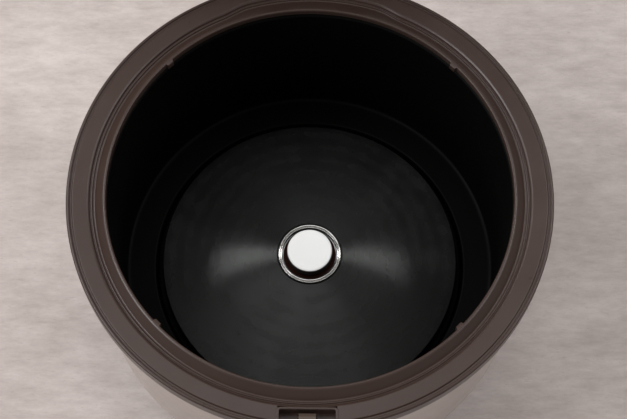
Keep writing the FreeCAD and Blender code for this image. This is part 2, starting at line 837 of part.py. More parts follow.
def make_panel():
    """The curved front panel with its lamp lenses, lamps, lamp board and keep-warm rocker."""
    low = -(s.panel_top + panel_height)
    high = -s.panel_top
    inner_top, inner_low = shell_radius(s.panel_top) + 0.2, shell_radius(s.panel_top + panel_height) + 0.2
    thick = s.panel_thickness
    outline = [
        (inner_low, low),
        (inner_low + thick - 0.8, low, 0.3),
        (inner_low + thick, low + 0.8),
        (inner_top + thick, high - 0.8, 0.3),
        (inner_top + thick - 0.8, high),
        (inner_top, high),
    ]
    ring = turned("panel_ring", outline)
    half = s.panel_width / 2
    sector = block("panel_sector", (-half, half), (-s.rim_radius, -90), (low - 1, high + 1))
    sheet_metal = common("panel_curved", ring, sector)
    lamp_z = -lens_depth
    board_y = -(shell_radius(rocker_depth) + thick) + s.rocker_frame_depth + fit
    holes, lenses, lamps = [], [], []
    for index, side in enumerate((-1, 1)):
        x = side * s.lens_spacing / 2
        face = shell_radius(lens_depth) + thick
        front = -root(face * face - x * x) - 1.0
        holes.append(rod(f"lens_hole_{index}", s.lens_radius + 0.15, x, -s.rim_radius, lamp_z, 20, "Y"))
        lens = rod(f"lens_{index}", s.lens_radius, x, front, lamp_z, 6.5, "Y")
        lamp = rod(f"lamp_{index}", 2.6, x, front + 6.7, lamp_z, board_y - fit - (front + 6.7), "Y")
        lenses.append(lens)
        lamps.append(lamp)
    keep("lamp_lenses", group("lenses_group", *lenses))
    keep("lamps", group("lamps_group", *lamps))
    board = block("board_body", (-36, 36), (board_y, board_y + 1.6), (lamp_z - 12, lamp_z + 10))
    posts = []
    for index, x in enumerate((-32.0, 32.0)):
        panel_y = -root(inner_low * inner_low - x * x)
        posts.append(rod(f"board_post_{index}", 2.2, x, panel_y, lamp_z - 8, board_y - panel_y, "Y"))
    keep("lamp_board", fuse("board_fused", board, *posts))

    rocker_z = -rocker_depth
    frame_x, frame_z = s.rocker_width / 2 + 2.2, s.rocker_height / 2 + 2.2
    face = shell_radius(rocker_depth) + thick
    holes.append(block("rocker_hole", (-frame_x - 0.15, frame_x + 0.15), (-s.rim_radius, 35 - s.rim_radius),
                       (rocker_z - frame_z - 0.15, rocker_z + frame_z + 0.15)))
    keep("front_panel", cut("panel_cut", sheet_metal, *holes))
    frame = block("rocker_frame_block", (-frame_x, frame_x), (-face - 1.2, -face + s.rocker_frame_depth),
                  (rocker_z - frame_z, rocker_z + frame_z))
    bore = block("rocker_frame_bore", (-s.rocker_width / 2 - fit, s.rocker_width / 2 + fit),
                 (-face - 2, -face + s.rocker_frame_depth - 2),
                 (rocker_z - s.rocker_height / 2 - 0.8, rocker_z + s.rocker_height / 2 + 0.8))
    pivot_y = -face + s.rocker_pivot_inset
    trunnion = s.rocker_width / 2 + fit + s.trunnion_reach
    socket = rod("rocker_socket", s.trunnion_radius + s.running_fit, -trunnion - fit, pivot_y, rocker_z,
                 (trunnion + fit) * 2, "X")
    keep("rocker_frame", cut("rocker_frame_cut", frame, bore, socket))
    tall = s.rocker_height / 2
    profile = [
        (-face - 1.6, rocker_z - tall),
        (-face + 3.0, rocker_z - tall),
        (-face + 7.0, rocker_z - 3.0),
        (-face + 7.0, rocker_z + 3.0),
        (-face + 3.0, rocker_z + tall),
        (-face - 1.6, rocker_z + tall),
        (-face - 0.4, rocker_z),
    ]
    paddle = extruded("rocker_body", profile, -s.rocker_width / 2, s.rocker_width / 2)
    shaft = rod("rocker_trunnions", s.trunnion_radius, -trunnion, pivot_y, rocker_z, trunnion * 2, "X")
    tilt = group("rocker_tilted", fuse("rocker_fused", paddle, shaft))
    pivot = FreeCAD.Vector(0, pivot_y.number, rocker_z.number)
    tilt.Placement = FreeCAD.Placement(FreeCAD.Vector(), FreeCAD.Rotation(FreeCAD.Vector(1, 0, 0),
                                       -number_of(s.rocker_tilt)), pivot)
    keep("warm_rocker", tilt)


def make_cook_switch():
    """The cook lever: a paddle at the front, a steel bar on a pivot, and the bracket that holds it."""
    half, thick = s.lever_width / 2, s.lever_thickness / 2
    z, pivot = lever_z, -pivot_reach
    front = -(base_waist_radius + 9.0)
    bar = block("lever_bar", (-half, half), (front, 5), (z - thick, z + thick))
    boss = rod("lever_boss", s.pivot_radius + 2.2, -half, pivot, z, s.lever_width, "X")
    bore = rod("lever_bore", s.pivot_radius + s.running_fit, -half - 1, pivot, z, s.lever_width + 2, "X")
    keep("cook_lever", cut("lever_cut", fuse("lever_fused", bar, boss), bore))

    wide = s.paddle_width / 2
    back = -(shell_foot_radius - 0.6)
    tip = back - s.paddle_reach
    tall = s.paddle_height / 2
    profile = [
        (back, z - tall),
        (back, z + tall),
        (tip + 4.0, z + tall, 1.2),
        (tip, z + 1.0),
        (tip, z - tall + 2.0, 0.5),
        (tip + 2.0, z - tall),
    ]
    solid = extruded("paddle_body", profile, -wide, wide)
    socket = block("paddle_socket", (-half, half), (front, back + 1), (z - thick, z + thick))
    keep("cook_paddle", cut("paddle_cut", solid, socket))

    gap = s.lever_width / 2 + 0.8
    top = dish_bottom
    ears = []
    for index, side in enumerate((-1, 1)):
        low, high = (gap, gap + 1.6) if side > 0 else (-gap - 1.6, -gap)
        ears.append(block(f"bracket_ear_{index}", (low, high), (pivot - 6, pivot + 6), (z - 6, top)))
    plate = block("bracket_plate", (-gap - 1.6, gap + 1.6), (pivot - 9, pivot + 9), (top - 1.6, top))
    hole = rod("bracket_hole", s.pivot_radius, -gap - 3, pivot, z, gap * 2 + 6, "X")
    keep("lever_bracket", cut("bracket_cut", fuse("bracket_fused", plate, *ears), hole))
    keep("lever_pin", rod("lever_pin_body", s.pivot_radius, -gap - 2.6, pivot, z, gap * 2 + 5.2, "X"))

    keep("micro_switch", block("switch_body", (8, 20), (-64, -40), (top - 14, top)))
    terminals = []
    for index in range(3):
        y = -62 + index * 9.0
        terminals.append(block(f"switch_tab_{index}", (20, 27), (y, y + 4), (top - 10, top - 9.2)))
    keep("switch_tabs", group("switch_tabs_group", *terminals))


# ---------------------------------------------------------------- latch

def make_latch():
    """The latch pocket in the rim, the hook on its pin, its spring, and the release button."""
    half, wall = s.pocket_width / 2 - 0.2, s.pocket_wall
    inner = pocket_inner_radius + 0.2
    outer = pocket_outer
    floor = -s.pocket_depth
    deck = -(s.band_fall + 0.1)
    hook_half = s.hook_width / 2
    pin_y, pin_z = hook_pin_y, -s.hook_pivot_depth
    face, back = hook_pin_y - s.hook_thickness / 2, hook_back
    button_z = pin_z - s.hook_arm

    tray = block("tray_block", (-half, half), (-outer, -inner), (floor - wall, deck))
    hollow = block("tray_hollow", (-half + wall, half - wall), (-outer + wall, -inner - wall), (floor, 1))
    slot = block("tray_slot", (-hook_half - 0.5, hook_half + 0.5), (-outer + wall, back + 2.6),
                 (floor - wall - 1, 1))
    cheeks = []
    cheek_foot = shell_radius(s.hook_pivot_depth + 4) - s.shell_wall
    near, far = hook_half + 1.0, hook_half + 3.0
    cheek_front = -root(cheek_foot * cheek_foot - far * far) + fit
    for index, side in enumerate((-1, 1)):
        low, high = (near, far) if side > 0 else (-far, -near)
        cheeks.append(block(f"tray_cheek_{index}", (low, high), (cheek_front, pin_y + 3.6),
                            (pin_z - 4, floor - wall)))
    seat_y = -pocket_inner_radius + 4.6
    seat = block("tray_seat", (-9, 9), (seat_y, seat_y + 1.4), (button_z - 3, floor - wall))
    brace = block("tray_brace", (-9, 9), (-inner - 3.0, seat_y + 1.4), (floor - wall - 1.4, floor - wall))
    body = cut("tray_open", fuse("tray_fused", tray, seat, brace, *cheeks), hollow, slot)
    bore = rod("tray_bore", s.hook_pin_radius, -14, pin_y, pin_z, 28, "X")
    keep("latch_pocket", cut("tray_cut", body, bore))
    reach = hook_half + 3.0
    keep("hook_pin", rod("hook_pin_body", s.hook_pin_radius, -reach, pin_y, pin_z, reach * 2, "X"))

    nose = back + s.hook_overhang
    profile = [
        (face, button_z - 2.0),
        (back, button_z - 2.0),
        (back, -6.2),
        (nose, -6.2),
        (nose, -4.2),
        (back - 1.0, -2.5),
        (face, -2.5),
    ]
    arm = extruded("hook_arm_body", profile, -hook_half, hook_half)
    boss = rod("hook_boss", s.hook_pin_radius + 1.7, -hook_half, pin_y, pin_z, s.hook_width, "X")
    hole = rod("hook_hole", s.hook_pin_radius + s.running_fit, -hook_half - 1, pin_y, pin_z,
               s.hook_width + 2, "X")
    keep("latch_hook", cut("hook_cut", fuse("hook_fused", arm, boss), hole))

    length = seat_y - back - 0.3
    keep("latch_spring", coil("latch_spring_body", 2.6, 0.35, number_of(length), 6,
                              (0, number_of(back) + 0.15, number_of(button_z)), "Y"))

    wide, tall = s.button_width / 2, s.button_height / 2
    front = -(s.rim_radius - 0.6)
    cap = block("button_cap", (-wide, wide), (front, front + 3.2), (button_z - tall, button_z + tall))
    stem = block("button_stem", (-5, 5), (front + 3.2, face - fit), (button_z - 2, button_z + 2))
    keep("release_button", fuse("button_fused", cap, stem))
    plate = block("bezel_block", (-wide - 2.6, wide + 2.6), (front + 1.2, -(s.rim_radius - 8.2)),
                  (button_z - tall - 2.6, button_z + tall + 2.6))
    window = block("bezel_window", (-wide - fit, wide + fit), (front, front + 5.8),
                   (button_z - tall - fit, button_z + tall + fit))
    way = block("bezel_way", (-hook_half - 1, hook_half + 1), (front, front + 35),
                (button_z - 4, button_z + tall + 4))
    keep("button_bezel", cut("bezel_cut", plate, window, way))


# ---------------------------------------------------------------- hinge, lid and what is on it

def open_lid(name, item):
    """Takes a lid piece, built shut, and swings it open about the hinge."""
    carried = group(f"{name}_open", item)
    turn = FreeCAD.Rotation(FreeCAD.Vector(1, 0, 0), -number_of(s.open_angle))
    carried.Placement = FreeCAD.Placement(FreeCAD.Vector(), turn,
                                          FreeCAD.Vector(0, hinge_y.number, hinge_z.number))
    return keep(name, carried)


def make_hinge():
    """The hinge bracket behind the rim, with its pin, spring and screws."""
    half = s.hinge_width / 2
    radius = s.knuckle_radius
    near = s.rim_radius - 2.0
    low = -s.skirt_height - s.hinge_plate_height
    face = shell_top_radius + fit + s.hinge_plate_thickness
    plate = block("hinge_plate", (-half, half), (shell_top_radius + fit, face),
                  (low, -s.skirt_height - 1.0))
    pieces = [plate]
    for index, side in enumerate((-1, 1)):
        start, end = (half - s.ear_width, half) if side > 0 else (-half, -half + s.ear_width)
        web = block(f"hinge_web_{index}", (start, end), (near, hinge_y + radius), (low + 14, hinge_z))
        head = rod(f"hinge_head_{index}", radius, start, hinge_y, hinge_z, s.ear_width, "X")
        pieces += [web, head]
    hole = rod("hinge_hole", s.hinge_pin_radius, -half - 1, hinge_y, hinge_z, s.hinge_width + 2, "X")
    keep("hinge_bracket", cut("hinge_cut", fuse("hinge_fused", *pieces), hole))
    keep("hinge_pin", rod("hinge_pin_body", s.hinge_pin_radius, -half, hinge_y, hinge_z, s.hinge_width, "X"))
    screws = []
    for index, (across, up) in enumerate(((-20, -8), (20, -8), (-20, -22), (20, -22))):
        screws.append(rod(f"hinge_screw_{index}", s.screw_head_radius, across, face,
                          -s.skirt_height + up, s.screw_head_height, "Y"))
    body_screws.extend(screws)
    keep("hinge_spring", coil("hinge_spring_body", number_of(s.hinge_pin_radius) + 2.2, 0.6, 30.0, 12,
                              (-15.0, number_of(hinge_y), number_of(hinge_z)), "X"))


def crown_bow(run, rise):
    """How far an arc bows that meets the axis level: its centre lies on the axis."""
    chord = run * run + rise * rise
    radius = chord / (rise * 2)
    return radius - root(radius * radius - chord / 4)


def make_lid_shells():
    """The domed lid cover and the liner under it."""
    outer = s.rim_radius - 0.4
    low = s.lid_edge_gap
    shoulder_r, shoulder_z = outer - s.lid_shoulder_run, s.lid_side + s.lid_shoulder_rise
    wall = s.lid_wall
    inner_r, inner_z = shoulder_r - wall * 0.4, shoulder_z - wall
    peak = s.lid_height - wall
    outline = [
        (outer - wall, low),
        (outer, low),
        (outer, s.lid_side, 2.6),
        (shoulder_r, shoulder_z, crown_bow(shoulder_r, s.lid_height - shoulder_z)),
        (0, s.lid_height),
        (0, peak, -crown_bow(inner_r, peak - inner_z)),
        (inner_r, inner_z, -2.2),
        (outer - wall, s.lid_side - 0.6),
    ]
    dome = turned("lid_dome", outline)
    half = s.hinge_width / 2 - s.ear_width + fit
    notch = block("lid_notch", (-half, half), (outer - 24, outer + 4),
                  (low - 2, s.hinge_height + s.knuckle_radius + 1.5))
    well_hole = rod("lid_vent_hole", s.vent_radius + 2.8, 0, s.vent_offset, s.lid_height - 20, 24)
    open_lid("lid_cover", cut("lid_cover_cut", dome, notch, well_hole))

    inside = outer - wall - 0.4
    bottom, thick = s.liner_height, s.liner_thickness
    gutter = [
        (0, bottom),
        (inner_lid_radius + 12.0, bottom),
        (inner_lid_radius + 12.0, bottom - 1.6),
        (inner_lid_radius + 14.0, bottom - 1.6),
        (inner_lid_radius + 14.0, bottom),
        (inside, bottom),
        (inside, bottom + thick),
        (0, bottom + thick),
    ]
    disc = turned("liner_disc", gutter)
    vent = rod("liner_vent_hole", s.vent_stem_radius + 0.5, 0, s.vent_offset, bottom - 1, thick + 2)
    gap = block("liner_gap", (-half, half), (inside - 6.0, inside + 4), (bottom - 1, bottom + thick + 1))
    open_lid("lid_liner", cut("liner_cut", disc, vent, gap))


def make_lid_fittings():
    """The lid's hinge arm, keeper, post, screws and vent sleeve."""
    bottom = s.liner_height + s.liner_thickness
    inner = s.hinge_width / 2 - s.ear_width - fit
    radius = s.knuckle_radius
    span = 15.0
    pieces = []
    for index, side in enumerate((-1, 1)):
        low = inner - span if side > 0 else -inner
        pieces.append(rod(f"knuckle_{index}", radius, low, hinge_y, hinge_z, span, "X"))
    pieces.append(block("arm_web", (-inner, inner), (s.rim_radius - 40.0, hinge_y - radius),
                        (bottom, bottom + 3.4)))
    for index, side in enumerate((-1, 1)):
        low, high = (inner - span, inner) if side > 0 else (-inner, -inner + span)
        pieces.append(block(f"arm_root_{index}", (low, high), (hinge_y - radius, hinge_y),
                            (bottom - 1.0, bottom + 3.4)))
    hole = rod("knuckle_hole", s.hinge_pin_radius + s.running_fit, -inner - 1, hinge_y, hinge_z,
               inner * 2 + 2, "X")
    open_lid("lid_arm", cut("arm_cut", fuse("arm_fused", *pieces), hole))

    screws = []
    for index, (across, back) in enumerate(((-24, 12), (24, 12), (-24, 24), (24, 24))):
        screws.append(rod(f"arm_screw_{index}", s.screw_head_radius, across, s.rim_radius - 40.0 + back,
                          bottom + 3.4, s.screw_head_height))
    open_lid("lid_screws", group("lid_screws_group", *screws))

    bar_y = hook_back + fit
    cover_inside = s.rim_radius - 0.4 - s.lid_wall
    plate_front = -root(cover_inside * cover_inside - 17 * 17) + fit
    hook_half = s.hook_width / 2
    pieces = [
        block("keeper_plate", (-17, 17), (plate_front, bar_y + 5.0), (s.liner_height - 2.2, s.liner_height)),
        block("keeper_bar", (-hook_half - 5.5, hook_half + 5.5), (bar_y, bar_y + 2.6), (-9.6, -6.6)),
    ]
    for index, side in enumerate((-1, 1)):
        near, far = hook_half + 2.2, hook_half + 5.5
        low, high = (near, far) if side > 0 else (-far, -near)
        pieces.append(block(f"keeper_leg_{index}", (low, high), (bar_y, bar_y + 2.6),
                            (-9.6, s.liner_height - 1.0)))
    open_lid("lid_keeper", fuse("keeper_fused", *pieces))

    open_lid("lid_post", rod("post_body", s.post_radius, 0, 0, -7.0, s.liner_height + 7.0))

    stem, well = s.vent_stem_radius + 0.4, s.vent_radius + 0.5
    rest = s.lid_height - 17.0
    sleeve_low = s.liner_height + s.liner_thickness + 0.1
    sleeve = [
        (stem, sleeve_low),
        (stem + 1.8, sleeve_low),
        (stem + 1.8, rest - 2.0),
        (well + 2.0, rest - 2.0),
        (well + 2.0, s.lid_height - 6.0),
        (well, s.lid_height - 6.0),
        (well, rest),
        (stem, rest),
    ]
    open_lid("vent_sleeve", turned("sleeve_body", sleeve, 0, s.vent_offset))


def make_lid_loose_parts():
    """The pieces that lift off the lid for washing: the inner lid with its seals, and the steam vent."""
    radius, thick = inner_lid_radius, s.inner_lid_thickness
    top = s.liner_height - 2.0
    plate = [
        (9.5, top - thick),
        (radius - 12.0, top - thick),
        (radius - 10.0, top - thick - 2.0),
        (radius, top - thick - 2.0),
        (radius, top - 2.0),
        (radius - 10.0 + thick, top - 2.0),
        (radius - 12.0 + thick, top),
        (9.5, top),
    ]
    disc = turned("inner_lid_disc", plate)
    holes = []
    for index in range(8):
        x, y = polar(as_size(52.0), index * 45)
        holes.append(rod(f"steam_hole_{index}", 2.5, x, y, top - thick - 1, thick + 2))
    open_lid("inner_lid", cut("inner_lid_cut", disc, *holes))
    seal = [
        (radius, top - thick - 2.6),
        (radius + s.gasket_width, top - 6.5),
        (radius + s.gasket_width, top - 5.3),
        (radius + 1.2, top - 1.4),
        (radius - 2.0, top - 1.4),
        (radius - 2.0, top - 2.0),
        (radius, top - 2.0),
    ]
    open_lid("inner_lid_gasket", turned("gasket_body", seal))
    grommet = [
        (s.post_radius + s.running_fit, top - thick - 2.6),
        (12.5, top - thick - 1.6),
        (12.5, top - thick),
        (9.5, top - thick),
        (9.5, top),
        (s.post_radius + s.running_fit, top),
    ]
    open_lid("inner_lid_grommet", turned("grommet_body", grommet))

    rest = s.lid_height - 17.0 + fit
    cap = [
        (0, rest),
        (s.vent_stem_radius - 2.0, rest),
        (s.vent_stem_radius - 2.0, s.liner_height + 1.0),
        (s.vent_stem_radius, s.liner_height + 1.0),
        (s.vent_stem_radius, rest),
        (s.vent_radius, rest),
        (s.vent_radius, s.lid_height - 4.0, 0.6),
        (s.vent_radius - 3.0, s.lid_height - 1.6, 0.5),
        (0, s.lid_height - 0.6),
    ]
    body = turned("vent_cap_body", cap, 0, s.vent_offset)
    slots = []
    for index in range(3):
        x = -9.0 + index * 9.0
        slots.append(block(f"vent_slot_{index}", (x - 1.5, x + 1.5), (s.vent_offset - 11, s.vent_offset + 11),
                           (rest - 1, s.lid_height + 1)))
    open_lid("steam_vent", cut("vent_cut", body, *slots))


# ---------------------------------------------------------------- rear

def make_rear():
    """The lift-off dew collector with its rails and spout, and the mains inlet."""
    half = s.collector_width / 2
    wall = s.collector_wall
    high = -s.collector_top
    low = high - s.collector_height
    skin = shell_radius(s.collector_top) + 1.2
    reach = skin + s.collector_reach
    outside = block("cup_outside", (-half, half), (shell_foot_radius - 30, reach), (low, high))
    inside = block("cup_inside", (-half + wall, half - wall), (shell_foot_radius - 30, reach - wall),
                   (low + wall, high + 1))
    core = rod("cup_core", skin, 0, 0, low - 1, s.collector_height + 3)
    lining = rod("cup_lining", skin + wall, 0, 0, low + wall, s.collector_height + 1)
    cavity = cut("cup_cavity", inside, lining)
    keep("dew_collector", cut("cup_cut", cut("cup_curved", outside, core), cavity))

    rails = []
    for index, side in enumerate((-1, 1)):
        near, far = half + fit, half + fit + 2.4
        start, end = (near, far) if side > 0 else (-far, -near)
        bar = block(f"rail_{index}", (start, end), (shell_foot_radius - 30, skin + 6), (low, high))
        clear = rod(f"rail_core_{index}", shell_radius(s.collector_top) + 0.2, 0, 0, low - 1,
                    s.collector_height + 2)
        rails.append(cut(f"rail_cut_{index}", bar, clear))
    keep("collector_rails", group("collector_rails_group", *rails))

    hinge_face = shell_top_radius + fit + s.hinge_plate_thickness
    spout_y = hinge_face + s.spout_radius + 1.0
    spout_top = -s.skirt_height - s.hinge_plate_height
    spout_low = high + s.spout_gap
    side = s.spout_radius * 1.5
    pipe = rod("spout_pipe", s.spout_radius, 0, spout_y, spout_low, spout_top - spout_low)
    chute = block("spout_chute", (-side, side), (shell_top_radius + fit, spout_y + s.spout_radius),
                  (spout_top - s.spout_radius, spout_top))
    bore = rod("spout_bore", s.spout_radius - s.spout_wall, 0, spout_y, spout_low - 1,
               spout_top - spout_low + 2)
    keep("drain_spout", cut("spout_cut", fuse("spout_fused", pipe, chute), bore))

    reach_x, rise = s.inlet_width / 2, s.inlet_height / 2
    z = -inlet_depth
    face = base_waist_radius + s.inlet_proud
    wide, tall = reach_x + s.inlet_flange, rise + s.inlet_flange / 2
    thick, wall = s.inlet_flange_thickness, s.inlet_wall
    flange = block("inlet_flange_block", (-wide, wide), (face, face + thick), (z - tall, z + tall))
    barrel = block("inlet_barrel", (-reach_x - wall, reach_x + wall),
                   (face - s.inlet_cavity - s.inlet_back, face), (z - rise - wall, z + rise + wall))
    hollow = block("inlet_hollow", (-reach_x, reach_x), (face - s.inlet_cavity, face + thick + 1),
                   (z - rise, z + rise))
    keep("mains_inlet", cut("inlet_open", fuse("inlet_shell", flange, barrel), hollow))
    back = face - s.inlet_cavity
    pins, tails = [], []
    for index, side in enumerate((-1, 0, 1)):
        across = side * s.pin_spacing
        span = (across - s.pin_thickness / 2, across + s.pin_thickness / 2)
        up = (z - s.pin_width / 2, z + s.pin_width / 2)
        pins.append(block(f"inlet_pin_{index}", span, (back, face - s.pin_setback), up))
        tails.append(block(f"inlet_tail_{index}", span,
                           (back - s.inlet_back - s.tab_length, back - s.inlet_back), up))
    keep("inlet_pins", group("inlet_pins_group", *pins, *tails))
    screws = []
    for index, side in enumerate((-1, 1)):
        across = side * (reach_x + s.inlet_flange * 0.6)
        screws.append(rod(f"inlet_screw_{index}", s.small_screw_radius, across, face + thick, z,
                          s.small_screw_height, "Y"))
    body_screws.extend(screws)


# ---------------------------------------------------------------- build, test and write

for make in (make_rim, make_well, make_plate, make_thermostat, make_well_fittings, make_shell, make_base,
             make_panel, make_cook_switch, make_latch, make_hinge, make_lid_shells, make_lid_fittings,
             make_lid_loose_parts, make_rear):
    make()
keep("body_screws", group("body_screws_group", *body_screws))
document.recompute()

for item in document.Objects:
    if "Invalid" in item.State or "Error" in item.State:
        raise ValueError(f"{item.Label} failed: {item.State}")
for name, item in nodes.items():
    if item.Label != name or item.Shape.isNull() or not item.Shape.isValid() or not item.Shape.Solids:
        raise ValueError(f"{name} has no valid solid")

os.makedirs("parts", exist_ok=True)
for name, item in nodes.items():
    item.Shape.exportStep(f"parts/{name}.step")
    print(f"{name}: {len(item.Shape.Solids)} solids, {item.Shape.Volume / 1000:.2f} cm3")
print(len(nodes), "nodes")
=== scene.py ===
import json
import math

import bmesh
import bpy
import numpy as np
from mathutils import Matrix, Vector


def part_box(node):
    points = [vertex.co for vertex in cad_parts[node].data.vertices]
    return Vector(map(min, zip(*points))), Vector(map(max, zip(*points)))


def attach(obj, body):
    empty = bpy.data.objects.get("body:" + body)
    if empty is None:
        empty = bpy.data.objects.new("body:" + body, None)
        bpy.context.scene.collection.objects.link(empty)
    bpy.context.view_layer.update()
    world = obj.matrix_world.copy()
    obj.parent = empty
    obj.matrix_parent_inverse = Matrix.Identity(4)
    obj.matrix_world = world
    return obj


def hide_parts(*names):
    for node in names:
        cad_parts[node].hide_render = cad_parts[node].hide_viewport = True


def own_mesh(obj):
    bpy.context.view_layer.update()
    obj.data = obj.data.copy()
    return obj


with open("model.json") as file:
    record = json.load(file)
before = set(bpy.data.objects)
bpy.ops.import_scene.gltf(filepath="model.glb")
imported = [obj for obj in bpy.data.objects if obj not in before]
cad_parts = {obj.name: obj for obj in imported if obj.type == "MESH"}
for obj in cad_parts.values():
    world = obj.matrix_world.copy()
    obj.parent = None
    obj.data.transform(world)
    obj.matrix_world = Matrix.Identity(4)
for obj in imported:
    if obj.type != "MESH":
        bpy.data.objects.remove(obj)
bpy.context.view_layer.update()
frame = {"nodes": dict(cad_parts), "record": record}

# A large hinged-lid rice cooker: its lid stands open and its inner pot is out. Lengths are metres
# in the part's own frame: the origin is the centre of the pot opening, +Z is up, the front is -Y.

NODES = frame["nodes"]
MM = 0.001
TURN = 2 * math.pi

# Sizes shared by several pieces, the same as the part's own.
RIM_R = 185 * MM
RIB_ANGLES = (44.0, 136.0, 224.0, 316.0)
SHELL_TOP_R, SHELL_FOOT_R = 182.3 * MM, 173 * MM
SHELL_TOP, SHELL_FOOT = -5 * MM, -157 * MM
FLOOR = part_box("feet")[0].z
FOOT_CIRCLE_R = 132 * MM
BUTTON_Z, LAMP_Z, PANEL_Z, ROCKER_Z = -0.031, -0.07, -96 * MM, -0.112
HINGE_Y, HINGE_Z = 190 * MM, 6 * MM
OPEN_ANGLE = math.radians(100)
LID_HEIGHT = 58 * MM
VENT_Y = 70 * MM

# Points of a mesh that are closer together than this become one.
WELD = 2e-7


# ------------------------------------------------------------------ surfaces

def eased(outline, steps=5, closed=True):
    """An outline in millimetres, as metres, with its corners eased.
    Each corner C with ease e becomes the curve (1-t)^2 A + 2t(1-t) C + t^2 B, where A and B lie e
    before and after C on its two edges. A point just outside A and one outside B keep the flats flat."""
    corners = np.array([point[:2] for point in outline], float)
    ease = np.array([point[2] if len(point) > 2 else 0.25 for point in outline])
    before, after = np.roll(corners, 1, 0) - corners, np.roll(corners, -1, 0) - corners
    run_in = np.maximum(np.linalg.norm(before, axis=1), 1e-6)
    run_out = np.maximum(np.linalg.norm(after, axis=1), 1e-6)
    reach = np.minimum(ease, 0.38 * np.minimum(run_in, run_out))
    if not closed:
        reach[[0, -1]] = 0
    start = corners + before / run_in[:, None] * reach[:, None]
    end = corners + after / run_out[:, None] * reach[:, None]
    t = np.linspace(0, 1, steps)[None, :, None]
    curve = (1 - t) ** 2 * start[:, None] + 2 * t * (1 - t) * corners[:, None] + t * t * end[:, None]
    guard_in = corners + before / run_in[:, None] * reach[:, None] * 1.25
    guard_out = corners + after / run_out[:, None] * reach[:, None] * 1.25
    rows = np.concatenate([guard_in[:, None], curve, guard_out[:, None]], 1)
    flat = rows.reshape(-1, 2)
    if not closed:
        flat = flat[steps + 1:-(steps + 1)]
    keep = np.ones(len(flat), bool)
    keep[1:] = np.linalg.norm(np.diff(flat, axis=0), axis=1) > 1e-5
    return flat[keep] * MM


def quads_of(rows, columns, wrap_rows=False, wrap_columns=True):
    """The four corners of every cell in a grid whose points are numbered row by row."""
    i = np.arange(rows if wrap_rows else rows - 1)[:, None]
    j = np.arange(columns if wrap_columns else columns - 1)[None, :]
    i2, j2 = (i + 1) % rows, (j + 1) % columns
    return np.stack(np.broadcast_arrays(i * columns + j, i * columns + j2,
                                        i2 * columns + j2, i2 * columns + j), -1).reshape(-1, 4)


def piece(name, body, slot, points, faces, stands_for=(), sharp=42, closed=True):
    """Points and faces as a finished object that rides on a body of the part."""
    mesh = bpy.data.meshes.new(name)
    mesh.from_pydata(np.asarray(points).reshape(-1, 3).tolist(), [],
                     faces if isinstance(faces, list) else faces.tolist())
    work = bmesh.new()
    work.from_mesh(mesh)
    bmesh.ops.remove_doubles(work, verts=work.verts, dist=WELD)
    if closed:
        bmesh.ops.recalc_face_normals(work, faces=work.faces)
    work.to_mesh(mesh)
    work.free()
    mesh.shade_smooth()
    mesh.set_sharp_from_angle(angle=math.radians(sharp))
    made = bpy.data.objects.new(name, mesh)
    bpy.context.scene.collection.objects.link(made)
    mesh.materials.append(FINISHES[slot])
    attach(made, body)
    if stands_for:
        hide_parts(*stands_for)
    return made


def swung(points):
    """Points of the shut lid carried to where the lid stands open: turned about the hinge."""
    turn = np.array(Matrix.Rotation(-OPEN_ANGLE, 3, "X"))
    pivot = np.array([0, HINGE_Y, HINGE_Z])
    return (points - pivot) @ turn.T + pivot


def revolved(profile, columns=192, centre=(0.0, 0.0), angles=None):
    """A profile (r, z) turned about an upright axis: (x0 + r cos a, y0 + r sin a, z)."""
    a = np.linspace(0, TURN, columns, endpoint=False) if angles is None else angles
    r, z = profile[:, 0][:, None], profile[:, 1][:, None]
    return np.stack([centre[0] + r * np.cos(a), centre[1] + r * np.sin(a), z + 0 * a], -1)


def turned_piece(name, body, slot, outline, stands_for=(), columns=192, centre=(0.0, 0.0), place=None,
                 steps=5, sharp=42):
    """A closed solid of revolution from an outline in millimetres."""
    points = revolved(eased(outline, steps), columns, centre)
    rows = len(points)
    points = points.reshape(-1, 3)
    if place is not None:
        points = place(points)
    return piece(name, body, slot, points, quads_of(rows, columns, wrap_rows=True), stands_for, sharp)


def rounded_outline(width, height, corner, steps=8, centre=(0.0, 0.0), along=6):
    """A rectangle with round corners, anticlockwise from its right side: centre + (w, h) + c (cos, sin),
    with `along` more points evenly on each straight side."""
    a = (np.arange(4)[:, None] * 90 + np.linspace(0, 90, steps)[None, :]) * math.pi / 180
    side_x = np.array([1, -1, -1, 1])[:, None] * (width / 2 - corner)
    side_y = np.array([1, 1, -1, -1])[:, None] * (height / 2 - corner)
    arcs = np.stack([centre[0] + side_x + corner * np.cos(a), centre[1] + side_y + corner * np.sin(a)], -1)
    share = np.linspace(0, 1, along + 2)[1:-1][None, :, None]
    end, start = arcs[:, -1:], np.roll(arcs[:, :1], -1, 0)
    return np.concatenate([arcs, end + (start - end) * share], 1).reshape(-1, 2)


def outward(outline):
    """The unit direction out of a closed outline at each of its points, for an anticlockwise one."""
    along = np.roll(outline, -1, 0) - np.roll(outline, 1, 0)
    along /= np.maximum(np.linalg.norm(along, axis=1), 1e-9)[:, None]
    return np.stack([along[:, 1], -along[:, 0]], 1)


